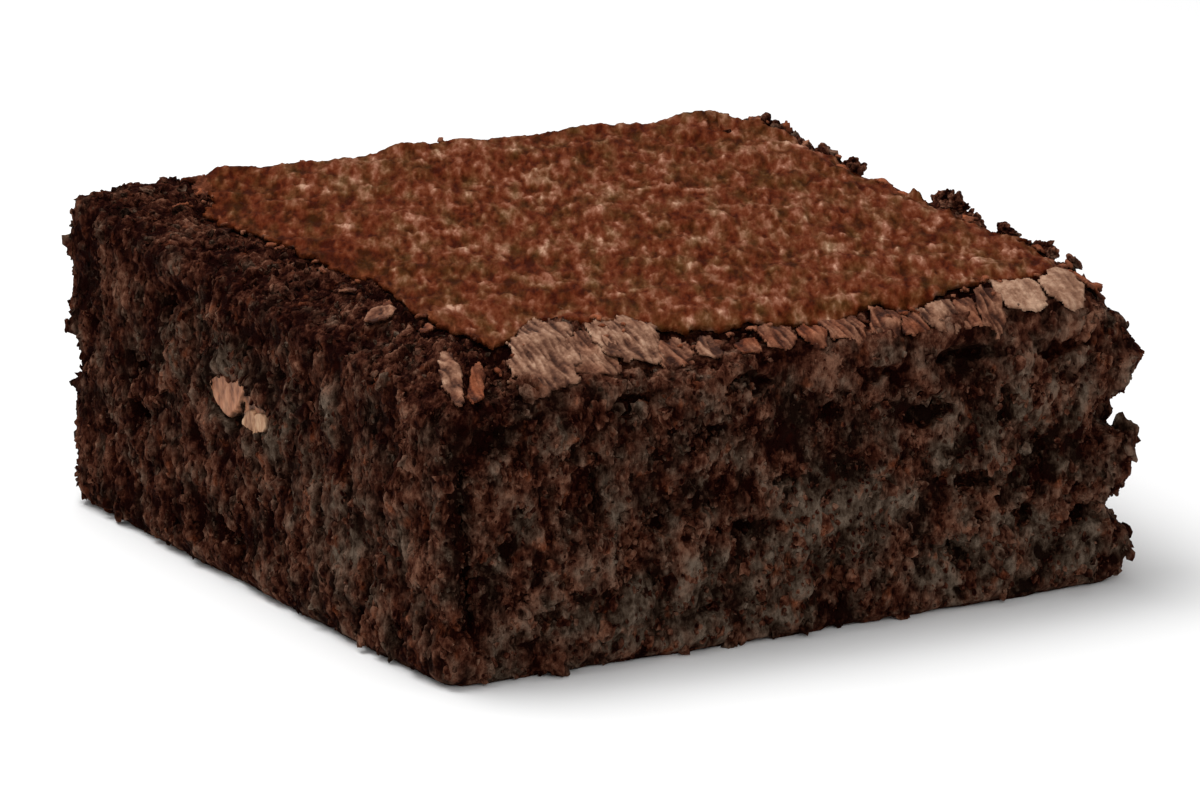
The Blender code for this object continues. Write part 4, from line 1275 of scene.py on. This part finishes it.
# %% The nut
# The cut lies in the left side, so each lobe's outline is drawn there: its middle, then points
# round it, each the way to the back and the height in mm. The last number is 1 for the cream
# lobe, 0 for the pink one and -1 for the browned bridge, which lies deeper.
NUT_LAYERS = (
    ((3.6, 17.6), ((7.3, 17.6), (6.4, 18.4), (3.7, 18.8), (0.3, 19.0), (1.1, 17.3), (2.2, 16.2),
                   (3.5, 15.3), (5.0, 15.8), (6.4, 16.4)), 0.0),
    ((-1.7, 16.1), ((1.2, 15.5), (0.6, 16.2), (-1.8, 16.8), (-4.1, 17.2), (-4.3, 16.5), (-2.4, 15.6),
                    (-0.6, 15.2)), 1.0),
    ((-1.0, 17.4), ((1.8, 17.2), (1.0, 18.3), (-1.2, 18.3), (-3.6, 17.9), (-3.4, 17.0), (-1.0, 16.4),
                    (1.0, 16.2)), -1.0),
)
NUT_FACE = -35.7 * MM
NUT_DEPTH = 2.6 * MM
NUT_DETAIL = 5
BRIDGE_DEPTH = 0.45
NUT_CLEARANCE = 0.02 * MM

nut_low, nut_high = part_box("nut_piece")


def outline_reach(points, middle, angle):
    """How far an outline of points reaches from its middle at an angle."""
    spokes = [(along - middle[0], up - middle[1]) for along, up in points]
    table = sorted((math.atan2(up, along), math.hypot(along, up)) for along, up in spokes)
    before = (table[-1][0] - math.tau, table[-1][1])
    after = (table[0][0] + math.tau, table[0][1])
    return read_table([before, *table, after], angle)


def in_nut_box(place):
    """Keeps a place inside the box of the nut's solid."""
    return Vector([max(low + NUT_CLEARANCE, min(high - NUT_CLEARANCE, at))
                   for low, high, at in zip(nut_low, nut_high, place)])


nut_bm = bmesh.new()
hollows = nut_bm.verts.layers.float.new("hollow")
creams = nut_bm.verts.layers.float.new("cream")
for middle, points, creamy in NUT_LAYERS:
    made = bmesh.ops.create_icosphere(nut_bm, subdivisions=NUT_DETAIL, radius=1.0)["verts"]
    for vert in made:
        depth, along, up = vert.co.normalized()
        across = math.hypot(along, up)
        reach = outline_reach(points, middle, math.atan2(up, along)) if across > 0 else 0.0
        wide = 0.10 * noise.noise(Vector((along, up, middle[0])) * 3.0)
        narrow = 0.06 * noise.noise(Vector((along, up, middle[1])) * 9.0)
        reach *= 1 + wide + narrow
        spread = across ** 0.8 * reach / max(across, 1e-6)
        place = Vector((0.0, middle[0] + along * spread, middle[1] + up * spread))
        chipped = 0.22 * noise.noise(place / 1.1) + 0.12 * noise.noise(place / 0.4)
        rounded = ease((across - 0.80) / 0.20)
        front = (BRIDGE_DEPTH if creamy < 0 else 0.0) + chipped + 0.55 * rounded
        place.x = NUT_FACE / MM + (front if depth < 0 else between(front, NUT_DEPTH / MM, depth))
        browned = 0.72 if creamy < 0 else 0.0
        dirty = 1.2 * ease((across - 0.74) / 0.30) + 0.9 * noise.noise(place / 0.9) - 0.22
        vert[hollows] = limited(browned + dirty)
        vert[creams] = limited(creamy) * 0.9
        vert.co = in_nut_box(place * MM)
nut = add_piece("nut", nut_bm, nut_finish)
report(nut)
print("nut box, mm:", [round(value / MM, 2) for corner in (nut_low, nut_high) for value in corner])
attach(nut, "root")
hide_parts("nut_piece")

# %% [markdown]
# ## The underside
# The bottom was pressed flat in its tin and is smoother and darker. A round-cornered grid is
# stretched to the foot of the loaf and dimpled upwards, then given a little thickness.

# %% Underside
BASE_CELLS = 96
BASE_THICKNESS = 0.5 * MM
# The foot is read at this height, and the underside ends a little inside it.
FOOT_HEIGHT = 0.7 * MM
FOOT_SHARE = 0.985
BASE_ASH = 0.35


def foot_reach(direction):
    """How far the foot of the loaf reaches in a direction in plan."""
    spot = loaf.ray_cast(direction * 70 * MM + UP * FOOT_HEIGHT, -direction)[0]
    return Vector((spot.x, spot.y, 0.0)).length if spot is not None else 30 * MM


base_bm = bmesh.new()
bmesh.ops.create_grid(base_bm, x_segments=BASE_CELLS, y_segments=BASE_CELLS, size=1.0)
hollows = base_bm.verts.layers.float.new("hollow")
ashes = base_bm.verts.layers.float.new("greyness")
for vert in base_bm.verts:
    ring = max(abs(vert.co.x), abs(vert.co.y))
    flat = Vector((vert.co.x, vert.co.y, 0.0))
    direction = flat.normalized() if ring > 0 else Vector((1, 0, 0))
    vert.co = direction * foot_reach(direction) * FOOT_SHARE * ring
    dimple = 1 - clump(vert.co, 1.9, warp=0.5)
    pore = ease((noise.noise(vert.co / (2.6 * MM)) - 0.25) / 0.3)
    vert.co.z = (0.02 + 0.12 * dimple + 0.30 * pore) * MM
    # Dimples and pores are painted darker: painted shade.
    vert[hollows] = limited(0.45 + 0.4 * dimple + 0.4 * pore)
    vert[ashes] = BASE_ASH
bmesh.ops.solidify(base_bm, geom=base_bm.faces[:], thickness=-BASE_THICKNESS)
bmesh.ops.recalc_face_normals(base_bm, faces=base_bm.faces)
underside = add_piece("underside", base_bm, crumb)
report(underside)
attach(underside, "root")


for piece in (top_crust, crust_plates, crust_chips):
    print(piece.name, "stands", round(max(corner[2] for corner in piece.bound_box) / MM, 2), "mm high")
